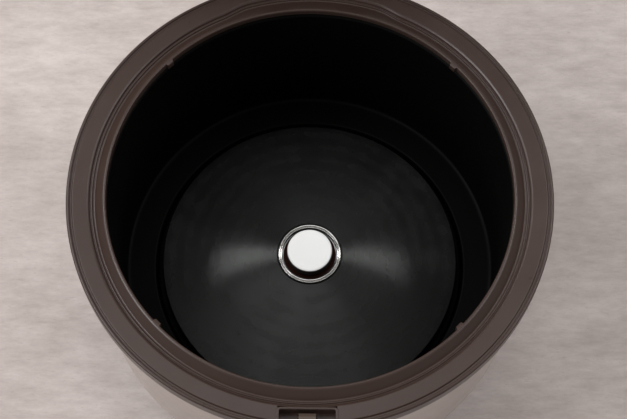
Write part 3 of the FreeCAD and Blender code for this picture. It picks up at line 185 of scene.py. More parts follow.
def slab(outline, thickness, ease, hole=None, rings=6, crown=0.0, back_ease=None):
    """A plate with eased edges, as rings of (a, b, h): from the middle, or a hole's edge, out to the
    outline at h = thickness, round a quarter circle of radius `ease`, down the side and back in at
    h = 0. `crown` lifts the face by crown (1 - s^2), where s runs from 0 in the middle to 1 outside."""
    back_ease = ease * 0.5 if back_ease is None else back_ease
    out = outward(outline)
    quarter = np.linspace(0, math.pi / 2, 5)
    inner = np.zeros_like(outline) + outline.mean(0) if hole is None else hole
    face_edge = outline - out * ease
    start = inner + (outward(inner) * ease if hole is not None else 0)
    s = np.linspace(0, 1, rings)[:, None, None]
    xy = start[None] + (face_edge - start)[None] * s
    rise = np.full(xy.shape[:2], thickness) + crown * (1 - s[..., 0] ** 2)
    bend = face_edge[None] + out[None] * ease * np.sin(quarter)[:, None, None]
    fall = thickness - ease + ease * np.cos(quarter)[:, None] + 0 * outline[None, :, 0]
    curl = outline[None] - out[None] * back_ease * (1 - np.cos(quarter))[:, None, None]
    low = back_ease * (1 - np.sin(quarter))[:, None] + 0 * outline[None, :, 0]
    stack = [np.dstack([xy, rise]), np.dstack([bend, fall]), np.dstack([curl, low])]
    if hole is None:
        stack.append(np.dstack([inner[None], np.zeros((1, len(outline)))]))
    else:
        into = outward(hole)
        foot = hole[None] + into[None] * back_ease * (1 - np.cos(quarter))[::-1, None, None]
        rim = hole[None] + into[None] * ease * (1 - np.sin(quarter))[::-1, None, None]
        stack.append(np.dstack([foot, (back_ease * (1 - np.sin(quarter)))[::-1, None]
                                + 0 * hole[None, :, 0]]))
        stack.append(np.dstack([rim[::-1], (thickness - ease + ease * np.cos(quarter))[::-1, None]
                                + 0 * hole[None, :, 0]])[:-1])
    return np.concatenate(stack)


def slab_piece(name, body, slot, rings, place, stands_for=(), sharp=50):
    """A slab put where `place` carries its (a, b, h)."""
    rows, columns = rings.shape[:2]
    points = place(rings.reshape(-1, 3))
    return piece(name, body, slot, points, quads_of(rows, columns, wrap_rows=True), stands_for, sharp)


def coil_points(radius, wire, length, turns, around=10, per_turn=28):
    """A round wire wound along +Z: its centre is (R cos q, R sin q, pitch q), and its section is a circle
    w (cos e radial + sin e up) round that centre."""
    q = np.linspace(0, TURN * turns, int(turns * per_turn))[:, None]
    e = np.linspace(0, TURN, around, endpoint=False)[None, :]
    r = radius + wire * np.cos(e)
    return np.stack([r * np.cos(q), r * np.sin(q), length * q / (TURN * turns) + wire * np.sin(e)], -1)


def coil_piece(name, body, slot, radius, wire, length, turns, place, stands_for=()):
    """A coil spring with closed ends."""
    grid = coil_points(radius, wire, length, turns)
    rows, columns = grid.shape[:2]
    faces = quads_of(rows, columns).tolist()
    faces += [list(range(columns)), list(range((rows - 1) * columns, rows * columns))]
    return piece(name, body, slot, place(grid.reshape(-1, 3)), faces, stands_for, 60)


def smooth_step(x, low, high):
    """0 below low, 1 above high, and 3t^2 - 2t^3 between."""
    t = np.clip((x - low) / (high - low), 0, 1)
    return t * t * (3 - 2 * t)


# ------------------------------------------------------------------ finishes

class Nodes:
    """Adds shader nodes to one material in a line each."""

    def __init__(self, name):
        self.material = bpy.data.materials.new(name)
        self.material.use_nodes = True
        self.tree = self.material.node_tree
        self.shader = self.tree.nodes["Principled BSDF"]
        self.here = self.add("ShaderNodeTexCoord").outputs["Object"]

    def add(self, kind, **settings):
        node = self.tree.nodes.new(kind)
        for key, value in settings.items():
            setattr(node, key, value)
        return node

    def link(self, source, target):
        self.tree.links.new(source, target)

    def noise(self, scale, detail=3.0, stretch=None, rough=0.55):
        node = self.add("ShaderNodeTexNoise")
        node.inputs["Scale"].default_value = scale
        node.inputs["Detail"].default_value = detail
        node.inputs["Roughness"].default_value = rough
        where = self.here
        if stretch:
            mapping = self.add("ShaderNodeMapping")
            mapping.inputs["Scale"].default_value = stretch
            self.link(where, mapping.inputs["Vector"])
            where = mapping.outputs["Vector"]
        self.link(where, node.inputs["Vector"])
        return node.outputs["Fac"]

    def ramp(self, value, low, high, start=0.3, end=0.7):
        node = self.add("ShaderNodeMapRange")
        node.inputs["From Min"].default_value, node.inputs["From Max"].default_value = start, end
        node.inputs["To Min"].default_value, node.inputs["To Max"].default_value = low, high
        self.link(value, node.inputs["Value"])
        return node.outputs["Result"]

    def mix(self, value, first, second):
        node = self.add("ShaderNodeMix", data_type="RGBA")
        for socket, colour in ((6, first), (7, second)):
            if isinstance(colour, tuple):
                node.inputs[socket].default_value = (*colour, 1)
            else:
                self.link(colour, node.inputs[socket])
        self.link(value, node.inputs[0])
        return node.outputs[2]

    def math(self, operation, first, second=0.0):
        node = self.add("ShaderNodeMath", operation=operation)
        for index, value in enumerate((first, second)):
            if isinstance(value, (int, float)):
                node.inputs[index].default_value = value
            else:
                self.link(value, node.inputs[index])
        return node.outputs[0]

    def bump(self, height, depth, strength=1.0, after=None):
        node = self.add("ShaderNodeBump")
        node.inputs["Strength"].default_value = strength
        node.inputs["Distance"].default_value = depth
        self.link(height, node.inputs["Height"])
        if after:
            self.link(after, node.inputs["Normal"])
        return node.outputs["Normal"]

    def radius(self, on_lid=False):
        """Distance from the part's upright axis, taken as if the lid were shut for a piece on the lid."""
        shift = self.add("ShaderNodeMapping")
        if on_lid:
            pivot = Vector((0, HINGE_Y, HINGE_Z))
            shift.inputs["Rotation"].default_value = (OPEN_ANGLE, 0, 0)
            shift.inputs["Location"].default_value = pivot - Matrix.Rotation(OPEN_ANGLE, 3, "X") @ pivot
        self.link(self.here, shift.inputs["Vector"])
        parts = self.add("ShaderNodeSeparateXYZ")
        self.link(shift.outputs["Vector"], parts.inputs[0])
        x, y = parts.outputs["X"], parts.outputs["Y"]
        squares = self.math("ADD", self.math("MULTIPLY", x, x), self.math("MULTIPLY", y, y))
        return self.math("SQRT", squares)


def set_shader(nodes, **values):
    """Puts plain numbers on the shader's own sockets."""
    for key, value in values.items():
        nodes.shader.inputs[key.replace("_", " ")].default_value = value


def moulded(name, light, dark, rough=(0.36, 0.46), grain=2200.0, depth=0.00003, coat=0.0, metallic=0.0,
            specular=0.5):
    """Moulded plastic or painted skin: two tones in soft clouds, a fine grain, and a patchy gloss."""
    n = Nodes(name)
    cloud = n.noise(9.0, 4)
    fine = n.noise(grain, 2)
    tone = n.mix(n.ramp(cloud, 0, 1), dark, light)
    n.link(n.mix(n.ramp(fine, 0, 0.18), tone, light), n.shader.inputs["Base Color"])
    n.link(n.ramp(n.noise(38, 5), *rough), n.shader.inputs["Roughness"])
    n.link(n.bump(fine, depth, 0.6, n.bump(n.noise(60, 2), 0.00008, 0.25)), n.shader.inputs["Normal"])
    set_shader(n, Coat_Weight=coat, Coat_Roughness=0.12, Metallic=metallic, Specular_IOR_Level=specular)
    return n.material


def metal(name, light, dark, rough=(0.25, 0.38), brush=(1, 1, 1), depth=0.00002):
    """Bare metal with a brushed or cloudy surface. `brush` stretches the marks along an axis."""
    n = Nodes(name)
    marks = n.noise(900, 3, brush)
    tone = n.mix(n.ramp(n.noise(14, 4), 0, 1), dark, light)
    n.link(n.mix(n.ramp(marks, 0, 0.35), tone, dark), n.shader.inputs["Base Color"])
    n.link(n.ramp(marks, *rough), n.shader.inputs["Roughness"])
    n.link(n.bump(marks, depth, 0.5), n.shader.inputs["Normal"])
    set_shader(n, Metallic=1.0)
    return n.material


def turned_metal(name, light, dark, pitch, depth, rough, anisotropic, on_lid=False):
    """Metal turned on a lathe: rings of one pitch about the upright axis, under slower ones. Off the lid,
    the gloss follows the rings."""
    n = Nodes(name)
    reach = n.radius(on_lid)
    wave = n.math("SINE", n.math("MULTIPLY", reach, TURN / pitch))
    broken = n.noise(26, 3)
    slow_pitch = pitch * 11.3
    slow = n.math("SINE", n.math("MULTIPLY", reach, TURN / slow_pitch))
    height = n.math("ADD", wave, n.math("MULTIPLY", slow, 0.35))
    shade = n.ramp(n.math("ADD", n.math("MULTIPLY", wave, 0.25), broken), 0, 0.5, 0.2, 0.9)
    n.link(n.mix(shade, light, dark), n.shader.inputs["Base Color"])
    n.link(n.ramp(n.math("ADD", n.math("MULTIPLY", slow, 0.1), n.noise(55, 3)), *rough),
           n.shader.inputs["Roughness"])
    n.link(n.bump(height, depth, 1.0), n.shader.inputs["Normal"])
    if not on_lid:
        tangent = n.add("ShaderNodeTangent", direction_type="RADIAL", axis="Z")
        n.link(tangent.outputs["Tangent"], n.shader.inputs["Tangent"])
    set_shader(n, Metallic=1.0, Anisotropic=anisotropic, Anisotropic_Rotation=0.25)
    return n.material


def rubber(name, light, dark, rough=(0.6, 0.75)):
    """Soft rubber or silicone: matt, with dust-fine pits."""
    n = Nodes(name)
    n.link(n.mix(n.ramp(n.noise(40, 4), 0, 1), dark, light), n.shader.inputs["Base Color"])
    n.link(n.ramp(n.noise(120, 3), *rough), n.shader.inputs["Roughness"])
    n.link(n.bump(n.noise(1500, 2), 0.00003, 0.5), n.shader.inputs["Normal"])
    return n.material


def clear(name, light, dark, rough, transmission):
    """Tinted or milky clear plastic."""
    n = Nodes(name)
    n.link(n.mix(n.ramp(n.noise(30, 3), 0, 1), dark, light), n.shader.inputs["Base Color"])
    n.link(n.ramp(n.noise(24, 2), *rough), n.shader.inputs["Roughness"])
    n.link(n.bump(n.noise(90, 2), 0.00002, 0.2), n.shader.inputs["Normal"])
    set_shader(n, Transmission_Weight=transmission, IOR=1.49)
    return n.material


def cap_finish(name):
    """The sensor cap: a satin top face, and its side below the rounded edge painted near black as painted
    shade.
    """
    n = Nodes(name)
    height = n.add("ShaderNodeSeparateXYZ")
    n.link(n.here, height.inputs[0])
    edge_foot, edge_top = -0.1234, -0.1226
    above = n.ramp(height.outputs["Z"], 0, 1, edge_foot, edge_top)
    satin = n.mix(n.ramp(n.noise(9, 4), 0, 1), (0.75, 0.75, 0.74), (0.82, 0.82, 0.81))
    # Near black below the cap's edge: painted shade of the narrow gap round the cap's side.
    n.link(n.mix(above, (0.02, 0.018, 0.017), satin), n.shader.inputs["Base Color"])
    n.link(n.ramp(n.noise(38, 5), 0.34, 0.42), n.shader.inputs["Roughness"])
    n.link(n.bump(n.noise(2600, 2), 0.00001, 0.4), n.shader.inputs["Normal"])
    set_shader(n, Specular_IOR_Level=0.3)
    return n.material


def board_finish(name):
    """Phenolic board: brown, with the fibres of its paper."""
    n = Nodes(name)
    fibres = n.noise(260, 5, (1, 0.15, 0.15))
    n.link(n.mix(n.ramp(fibres, 0, 1), (0.2, 0.12, 0.04), (0.42, 0.28, 0.11)), n.shader.inputs["Base Color"])
    n.link(n.ramp(fibres, 0.4, 0.6), n.shader.inputs["Roughness"])
    n.link(n.bump(fibres, 0.00004, 0.4), n.shader.inputs["Normal"])
    return n.material


def make_finishes():
    """One finish for each material slot of the record."""
    return {
        "rim_plastic": moulded("rim_plastic", (0.042, 0.025, 0.0195), (0.034, 0.0195, 0.0155), (0.27, 0.35),
                               specular=0.34),
        "shell_paint": moulded("shell_paint", (0.47, 0.41, 0.375), (0.42, 0.362, 0.33), (0.30, 0.38), 3400.0,
                               0.00002, 0.35, 0.55),
        # The pan's black coat set far darker than a real black coat, with little gloss: its own black finish
        # plus painted shade of the deep well.
        "well_black": moulded("well_black", (0.0012, 0.0012, 0.0011), (0.0007, 0.0007, 0.0007), (0.5, 0.6),
                              1500.0, 0.00003, specular=0.05),
        "plate_coat": turned_metal("plate_coat", (0.028, 0.029, 0.028), (0.024, 0.025, 0.024), 0.0011,
                                   0.000012, (0.24, 0.29), 0.93),
        "cap_aluminium": cap_finish("cap_aluminium"),
        "chrome": metal("chrome", (0.46, 0.45, 0.44), (0.43, 0.42, 0.41), (0.12, 0.15), (1, 1, 0.1),
                        0.0000002),
        # The collar's copper set almost black: partly its own dull copper, partly painted shade of the dark
        # gap round the cap.
        "copper": metal("copper", (0.016, 0.006, 0.004), (0.009, 0.004, 0.003), (0.36, 0.46),
                        depth=0.000002),
        "spring_steel": metal("spring_steel", (0.52, 0.52, 0.53), (0.36, 0.36, 0.37), (0.2, 0.34)),
        "zinc_steel": metal("zinc_steel", (0.62, 0.63, 0.64), (0.46, 0.47, 0.49), (0.26, 0.42)),
        "ferrite": rubber("ferrite", (0.05, 0.05, 0.055), (0.03, 0.03, 0.033), (0.45, 0.6)),
        "bare_aluminium": turned_metal("bare_aluminium", (0.68, 0.69, 0.70), (0.55, 0.56, 0.57), 0.0009,
                                       0.000004, (0.26, 0.36), 0.0, on_lid=True),
        "heater_tape": metal("heater_tape", (0.6, 0.6, 0.58), (0.45, 0.45, 0.43), (0.25, 0.5), (1, 1, 3)),
        "glass_wool": rubber("glass_wool", (0.7, 0.65, 0.52), (0.52, 0.47, 0.36), (0.85, 0.95)),
        "dark_base": moulded("dark_base", (0.062, 0.047, 0.040), (0.048, 0.036, 0.031), (0.42, 0.54), 1300.0,
                             0.00006),
        "panel_plastic": moulded("panel_plastic", (0.05, 0.037, 0.031), (0.04, 0.03, 0.025), (0.14, 0.2),
                                 3000.0, 0.000006, 0.4),
        "lens_red": clear("lens_red", (0.72, 0.06, 0.035), (0.55, 0.035, 0.02), (0.08, 0.16), 0.55),
        "lamp_glass": clear("lamp_glass", (0.9, 0.75, 0.6), (0.8, 0.6, 0.45), (0.03, 0.08), 0.9),
        "switch_plastic": moulded("switch_plastic", (0.03, 0.03, 0.03), (0.02, 0.02, 0.02), (0.28, 0.4)),
        "rocker_plastic": moulded("rocker_plastic", (0.42, 0.365, 0.33), (0.37, 0.32, 0.285), (0.25, 0.34),
                                  2600.0, 0.00001, 0.3, 0.35),
        "board": board_finish("board"),
        "foot_rubber": rubber("foot_rubber", (0.03, 0.028, 0.027), (0.02, 0.019, 0.018)),
        "catch_plastic": moulded("catch_plastic", (0.072, 0.052, 0.040), (0.058, 0.041, 0.032), (0.36, 0.46),
                                 specular=0.3),
        "seal_silicone": rubber("seal_silicone", (0.62, 0.61, 0.58), (0.52, 0.51, 0.48), (0.45, 0.6)),
        "lid_plastic": moulded("lid_plastic", (0.47, 0.41, 0.375), (0.42, 0.362, 0.33), (0.22, 0.3), 3400.0,
                               0.00001, 0.45, 0.5),
        "liner_plastic": moulded("liner_plastic", (0.094, 0.071, 0.060), (0.078, 0.058, 0.049),
                                 (0.32, 0.44)),
        "collector_clear": clear("collector_clear", (0.80, 0.79, 0.76), (0.74, 0.73, 0.70), (0.3, 0.36),
                                 0.4),
        "brass_pin": metal("brass_pin", (0.78, 0.6, 0.3), (0.6, 0.45, 0.2), (0.18, 0.3)),
        "fuse_white": moulded("fuse_white", (0.82, 0.8, 0.75), (0.7, 0.68, 0.62), (0.3, 0.45)),
    }


FINISHES = make_finishes()


def finish_part_nodes():
    """Gives each node of the part the finish of its own slot."""
    for row in frame["record"]["subparts"]:
        node = NODES[row["node"]]
        node.data.materials.clear()
        node.data.materials.append(FINISHES[row["material_slot"]])


# ------------------------------------------------------------------ rim

def rim_angles():
    """Angles round the rim: even steps, closer together beside the ribs, the pocket and the shoulders."""
    even = np.linspace(0, 360, 480, endpoint=False)
    fine = [np.linspace(-1.6, 1.6, 17) + middle for middle in RIB_ANGLES]
    pocket = [np.linspace(262.4, 277.6, 39)]
    shoulders = [np.linspace(66, 76, 15), np.linspace(104, 114, 15)]
    every = np.unique(np.round(np.concatenate([even, *fine, *pocket, *shoulders]), 3))
    keep = np.concatenate([[True], np.diff(every) > 0.05])
    return np.radians(every[keep])


def make_rim():
    """The rim moulding. Its section is the eased outline below, turned about Z. At the step, r is moved
    outwards by 2.7 mm over the rear 35 degrees, and fades back over 8 degrees on each side. At the four
    ribs, r is moved inwards by 2 mm. The latch pocket's cells are left out and their four sides closed
    from top to underside."""
    step_out, rib_in, inner_r = 2.7 * MM, 2.0 * MM, 154.3 * MM
    step_flat, step_faded = 17.5, 25.5
    rib_flat, rib_faded, rib_reach = 2.5 * MM, 3.4 * MM, 155.2 * MM
    pocket_angle = 7.2
    outline = [
        (182.6, -12.0, 0.3), (185.0, -12.0, 0.4), (185.0, -0.9, 0.5), (184.1, 0.0, 0.5), (182.7, 0.0, 0.3),
        (182.35, -1.25, 0.25), (180.9, -1.3, 0.3), (180.2, -0.2, 0.4), (169.0, -0.3, 0.3), (167.6, -1.1, 0.5),
        (166.9, -2.5, 0.4), (166.4, -2.5, 0.3), (165.9, -1.65, 0.35), (165.1, -1.65, 0.35),
        (164.6, -2.9, 0.4), (163.3, -3.0, 0.6), (157.2, 3.1, 1.2), (156.1, 3.65, 0.5), (154.9, 3.6, 0.5),
        (154.3, 2.6, 0.4), (154.3, -2.0, 0.3), (157.0, -2.0, 0.2), (157.0, -0.2, 0.3), (163.4, -5.6, 0.4),
        (166.8, -5.2, 0.3), (169.0, -3.0, 0.4), (182.6, -2.9, 0.3),
    ]
    profile = eased(outline, 4)
    angles = rim_angles()
    r, z = profile[:, 0][:, None], profile[:, 1][:, None]
    a = angles[None, :]
    off_rear = np.abs((np.degrees(a) - 90 + 180) % 360 - 180)
    shoulder = 1 - smooth_step(off_rear, step_flat, step_faded)
    near_step = smooth_step(r, 157.5 * MM, 164 * MM) * (1 - smooth_step(r, 169.5 * MM, 176 * MM))
    reach = r + step_out * shoulder * near_step
    for middle in RIB_ANGLES:
        off = np.abs((np.degrees(a) - middle + 180) % 360 - 180) * math.pi / 180 * inner_r
        reach = reach - rib_in * (1 - smooth_step(off, rib_flat, rib_faded)) * (r < rib_reach)
    grid = np.stack([reach * np.cos(a), reach * np.sin(a), z + 0 * a], -1)
    rows, columns = grid.shape[:2]
    # the pocket: its sides stand at x = +-21.6 mm on every row
    top = np.where((profile[:, 1] > -1.4 * MM) & (r[:, 0] < 182.45 * MM) & (r[:, 0] > 169.0 * MM))[0]
    wall = np.radians(np.array([270 - pocket_angle, 270 + pocket_angle]))
    left, right = [int(np.argmin(np.abs(angles - w))) for w in wall]
    half = 21.6 * MM
    share = (angles[left:right + 1] - angles[left]) / (angles[right] - angles[left])
    across = -half + 2 * half * share
    band = slice(top.min(), top.max() + 1)
    row_r = reach[band, left:right + 1]
    grid[band, left:right + 1, 0] = across[None, :]
    grid[band, left:right + 1, 1] = -np.sqrt(row_r ** 2 - across[None, :] ** 2)
    under = np.where((profile[:, 1] < -2.5 * MM) & (r[:, 0] < 182.45 * MM) & (r[:, 0] > 169.2 * MM)
                     & (np.arange(rows) > rows // 2))[0]
    faces = quads_of(rows, columns, wrap_rows=True)
    cell_row, cell_column = np.divmod(np.arange(len(faces)), columns)
    in_columns = (cell_column >= left) & (cell_column < right)
    in_top = (cell_row >= top.min()) & (cell_row < top.max())
    in_under = (cell_row >= under.min()) & (cell_row < under.max())
    kept = faces[~(in_columns & (in_top | in_under))]
    c = np.arange(left, right)
    sides = []
    for upper, lower in ((top.min(), under.max()), (top.max(), under.min())):
        sides.append(np.stack([upper * columns + c, upper * columns + c + 1,
                               lower * columns + c + 1, lower * columns + c], 1))
    faces = kept.tolist() + np.concatenate(sides).tolist()
    for column in (left, right):
        faces.append([int(i) * columns + column for i in range(top.min(), top.max() + 1)]
                     + [int(i) * columns + column for i in range(under.min(), under.max() + 1)])
    piece("rim_moulding", "cooker", "rim_plastic", grid, faces, ("rim_ring",), 40)


def make_pocket():
    """The raised bead round the mouth of the latch pocket."""
    centre, foot = (0.0, -175.6 * MM), -0.5 * MM
    mouth = rounded_outline(44.6 * MM, 13.8 * MM, 2.6 * MM, 8, centre)
    inner = rounded_outline(41.0 * MM, 11.0 * MM, 1.8 * MM, 8, centre)
    slab_piece("pocket_bead", "cooker", "rim_plastic",
               slab(mouth, 0.9 * MM, 0.4 * MM, inner, rings=3), lambda p: p + np.array([0, 0, foot]))


# ------------------------------------------------------------------ well, plate and thermostat

def make_well():
    """The black pan: rolled flange, straight wall and dished floor, turned about Z."""
    turned_piece("well_pan", "cooker", "well_black", [
        (159.6, -4.9, 0.1), (159.6, -4.1, 0.1), (155.0, -4.1, 1.0), (153.5, -5.6, 1.0), (153.5, -150.0, 3.8),
        (129.0, -150.0, 1.5), (127.0, -156.0, 1.5), (27.3, -156.0, 0.2), (27.3, -156.8, 0.2),
        (127.6, -156.8, 1.5), (129.6, -150.8, 1.5), (154.3, -150.8, 4.2), (154.3, -6.2, 1.0),
        (155.5, -4.9, 0.6),
    ], ("well",), 256, steps=6)


def make_plate():
    """The crowned heater plate, turned about Z. From its edge to its hole, s runs from 0 to 1 and the crown
    is z = edge + rise (0.62 (1 - (1 - s)^1.55) + 0.38 s). The rim is a small round."""
    edge_r, hole_r, edge_z, rise, bend = 122.0, 27.2, -142.55, 12.25, 1.55
    curved, straight = 0.62, 0.38
    s = np.linspace(0, 1, 26)
    r = edge_r + (hole_r - edge_r) * s
    z = edge_z + rise * (1 - (1 - s) ** bend) * curved + rise * s * straight
    crown = [(float(a), float(b), 0.0) for a, b in zip(r, z)]
    outline = [(76.0, -148.6, 1.0), (121.6, -148.6, 0.6), (122.8, -147.4, 0.6), (122.8, -143.4, 0.5)]
    outline += crown + [(26.4, -131.2, 0.3), (26.4, -140.6, 0.3), (73.0, -140.6, 1.0)]
    turned_piece("plate_casting", "cooker", "plate_coat", outline, ("heater_plate",), 256, sharp=34)


def make_thermostat():
    """The sensing cap, its copper collar, and the chromed ring round them, turned about Z."""
    turned_piece("ring_bead", "cooker", "chrome", [
        (22.5, -134.5, 0.2), (26.1, -134.5, 0.2), (26.1, -130.5, 0.5), (25.6, -129.75, 0.45),
        (24.75, -129.85, 0.3), (24.3, -130.6, 0.3), (23.85, -129.85, 0.3), (23.0, -129.75, 0.4),
        (22.5, -130.5, 0.4),
    ], ("sensor_ring",), 128, steps=6)
    turned_piece("cap_shell", "sensor", "cap_aluminium", [
        (0, -122.0, 0), (0, -123.2, 0), (17.9, -123.2, 0.4), (17.9, -146.0, 0.2), (18.7, -146.0, 0.2),
        (18.7, -123.6, 0.5), (18.2, -122.6, 0.5), (17.2, -122.15, 0.6), (14.6, -122.0, 0.5),
    ], ("sensor_cap",), 128, steps=6)
    turned_piece("copper_collar", "sensor", "copper", [
        (18.7, -133.0, 0.1), (21.6, -133.0, 0.25), (21.6, -131.4, 0.25), (18.7, -131.4, 0.1),
    ], ("sensor_collar",), 96)


# ------------------------------------------------------------------ shell and base

def shell_radius(z):
    """The shell's radius at a height: a straight taper from its top to its foot."""
    share = (SHELL_TOP - z) / (SHELL_TOP - SHELL_FOOT)
    return SHELL_TOP_R + (SHELL_FOOT_R - SHELL_TOP_R) * share


def walled(name, slot, outline, wall, windows, stands_for, columns=288):
    """An open skin turned about Z with window cells left out, then given its wall inwards.
    A window is (middle angle, half width, low z, high z), in degrees and millimetres. The cells are split
    at the angles that its sides have at `window_r`."""
    window_r = 170.0
    profile = eased(outline, 5, closed=False)
    heights = sorted({z for _, _, low, high in windows for z in (low, high)})
    even = np.linspace(0, TURN, columns, endpoint=False)
    edges = [math.radians(angle) + side * math.asin(half / window_r)
             for angle, half, _, _ in windows for side in (-1, 1)]
    angles = np.sort(np.concatenate([even, np.mod(edges, TURN)]))
    angles = angles[np.concatenate([[True], np.diff(angles) > 1e-6])]
    for height in heights:
        z = height * MM
        index = np.where((profile[:-1, 1] - z) * (profile[1:, 1] - z) < 0)[0]
        if len(index):
            i = int(index[np.argmax(profile[index, 0])])
            t = (z - profile[i, 1]) / (profile[i + 1, 1] - profile[i, 1])
            profile = np.insert(profile, i + 1, profile[i] + t * (profile[i + 1] - profile[i]), 0)
    grid = revolved(profile, angles=angles)
    faces = quads_of(len(profile), len(angles))
    middle = grid.reshape(-1, 3)[faces].mean(1)
    cut = np.zeros(len(faces), bool)
    for angle, half, low, high in windows:
        towards = np.array([math.cos(math.radians(angle)), math.sin(math.radians(angle))])
        across = np.abs(middle[:, 0] * -towards[1] + middle[:, 1] * towards[0])
        cut |= ((middle[:, :2] @ towards > 0.1) & (across < half * MM)
                & (middle[:, 2] > low * MM) & (middle[:, 2] < high * MM))
    made = piece(name, "cooker", slot, grid, faces[~cut], stands_for, 40, closed=False)
    thick = made.modifiers.new("wall", "SOLIDIFY")
    thick.thickness, thick.offset = wall * MM, -1.0
    return made


def make_shell():
    """The tapered shell with its turned-in foot, and the dark base tub."""
    walled("shell_skin", "shell_paint", [
        (165.0, -157.0, 0), (171.6, -157.0, 1.0), (173.0, -155.6, 1.0), (182.3, -5.0, 0),
    ], 1.2, [(270, 18.8, -39.8, -22.2), (270, 52, -134, -58)], ("outer_shell",))
    walled("base_skin", "dark_base", [
        (154.5, -224.3, 0), (156.3, -224.3, 0.8), (157.3, -223.0, 1.0), (166.0, -195.3, 9.0),
        (171.7, -159.2, 1.5), (172.0, -157.3, 0.6), (164.0, -157.3, 0),
    ], 2.5, [(270, 5.5, -188, -172), (90, 17.4, -203.4, -176.6)], ("base_tub",))


def make_feet():
    """Four turned rubber feet with a recessed middle."""
    for index, (x, y) in enumerate(((1, 1), (-1, 1), (-1, -1), (1, -1))):
        centre = (x * FOOT_CIRCLE_R * math.sqrt(0.5), y * FOOT_CIRCLE_R * math.sqrt(0.5))
        turned_piece(f"rubber_foot_{index + 1}", "cooker", "foot_rubber", [
            (0, -224.0, 0), (0, -229.2, 0), (5.5, -229.2, 0.4), (6.4, -229.8, 0.4), (10.2, -229.8, 0.6),
            (11.0, -228.6, 0.6), (11.4, -224.3, 0.3), (11.4, -224.0, 0),
        ], ("feet",) if index == 0 else (), 48, centre)


# ------------------------------------------------------------------ front controls

def on_shell(offset, lift=0.0):
    """Carries (across, up, out) onto the shell's front: y = -sqrt((shell radius + out)^2 - x^2)."""
    def place(p):
        x, z, out = p[:, 0], p[:, 1] + offset, p[:, 2] + lift
        r = shell_radius(z) + out
        return np.stack([x, -np.sqrt(r * r - x * x), z], 1)
    return place


def facing_front(y, z):
    """Carries (across, up, out) to a flat place on the front: out points to -Y."""
    return lambda p: np.stack([p[:, 0], y - p[:, 2], p[:, 1] + z], 1)


def make_front():
    """The curved panel, the two lamp lenses with their collars, and the rocker's surround."""
    lens_x, face_out = 22 * MM, 2.2 * MM
    hole = rounded_outline(26.6 * MM, 19.6 * MM, 1.6 * MM, 12, (0.0, -16 * MM))
    edge = rounded_outline(124 * MM, 92 * MM, 9 * MM, 12)
    slab_piece("panel_face", "cooker", "panel_plastic", slab(edge, 2.0 * MM, 0.9 * MM, hole, rings=22),
               on_shell(PANEL_Z, 0.2 * MM), ("front_panel",))
    for index, side in enumerate((-1, 1)):
        x = side * lens_x
        y = -math.sqrt((shell_radius(LAMP_Z) + face_out) ** 2 - x * x)
        dome = [(0, 6.4, 0), (0, -0.9, 0), (2.4, -0.6, 0.8), (3.7, 0.2, 0.5), (4.2, 1.4, 0.4),
                (4.2, 6.4, 0.2)]
        turned_piece(f"lamp_lens_{index + 1}", "cooker", "lens_red", dome,
                     ("lamp_lenses",) if index == 0 else (), 48,
                     place=lambda p, x=x, y=y: np.stack([p[:, 0] + x, p[:, 2] + y, p[:, 1] + LAMP_Z], 1))
        collar = [(4.3, 0.2, 0.1), (5.6, 0.2, 0.4), (5.6, -0.7, 0.4), (4.3, -0.7, 0.2)]
        turned_piece(f"lens_collar_{index + 1}", "cooker", "chrome", collar, (), 48,
                     place=lambda p, x=x, y=y: np.stack([p[:, 0] + x, p[:, 2] + y + 0.1 * MM,
                                                         p[:, 1] + LAMP_Z], 1))
    face = -(shell_radius(ROCKER_Z) + face_out)
    slab_piece("rocker_surround", "cooker", "switch_plastic",
               slab(rounded_outline(26.4 * MM, 19.4 * MM, 1.6 * MM), 15.0 * MM, 0.7 * MM,
                    rounded_outline(22.6 * MM, 16.4 * MM, 1.0 * MM), rings=3),
               facing_front(face + 13.8 * MM, ROCKER_Z), ("rocker_frame",))


def make_buttons():
    """The release button with its stem, and the cook switch's paddle, as slabs with rounded corners."""
    slab_piece("button_pad", "release_button", "rocker_plastic",
               slab(rounded_outline(32 * MM, 12 * MM, 4.4 * MM), 3.0 * MM, 1.1 * MM, crown=0.2 * MM),
               facing_front(-181.2 * MM, BUTTON_Z), ("release_button",))
    slab_piece("button_shank", "release_button", "rocker_plastic",
               slab(rounded_outline(10 * MM, 4 * MM, 0.8 * MM), 3.5 * MM, 0.3 * MM),
               facing_front(-177.85 * MM, BUTTON_Z))
    slab_piece("cook_pad", "cook_switch", "panel_plastic",
               slab(rounded_outline(42 * MM, 11 * MM, 4.2 * MM), 13.0 * MM, 2.6 * MM, back_ease=0.5 * MM),
               facing_front(-172.4 * MM, -0.176), ("cook_paddle",))


def make_springs():
    """The three coil springs. The two that a joint presses each get a mesh of their own."""
    sensor_seat, latch_seat = -163.9 * MM, -164.4 * MM
    made = coil_piece("sensor_coil", "cooker", "spring_steel", 17.7 * MM, 0.8 * MM, 15.52 * MM, 4,
                      lambda p: p + np.array([0, 0, sensor_seat + 1.04 * MM]), ("sensor_spring",))
    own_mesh(made)
    made = coil_piece("latch_coil", "cooker", "spring_steel", 2.6 * MM, 0.35 * MM, 8.44 * MM, 6,
                      lambda p: np.stack([p[:, 0], p[:, 2] - 173.445 * MM, p[:, 1] + BUTTON_Z], 1),
                      ("latch_spring",))
    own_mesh(made)
    coil_piece("hinge_coil", "cooker", "spring_steel", 4.7 * MM, 0.6 * MM, 28.44 * MM, 12,
               lambda p: np.stack([p[:, 2] - 14.22 * MM, p[:, 0] + HINGE_Y, p[:, 1] + HINGE_Z], 1),
               ("hinge_spring",))


# ------------------------------------------------------------------ lid

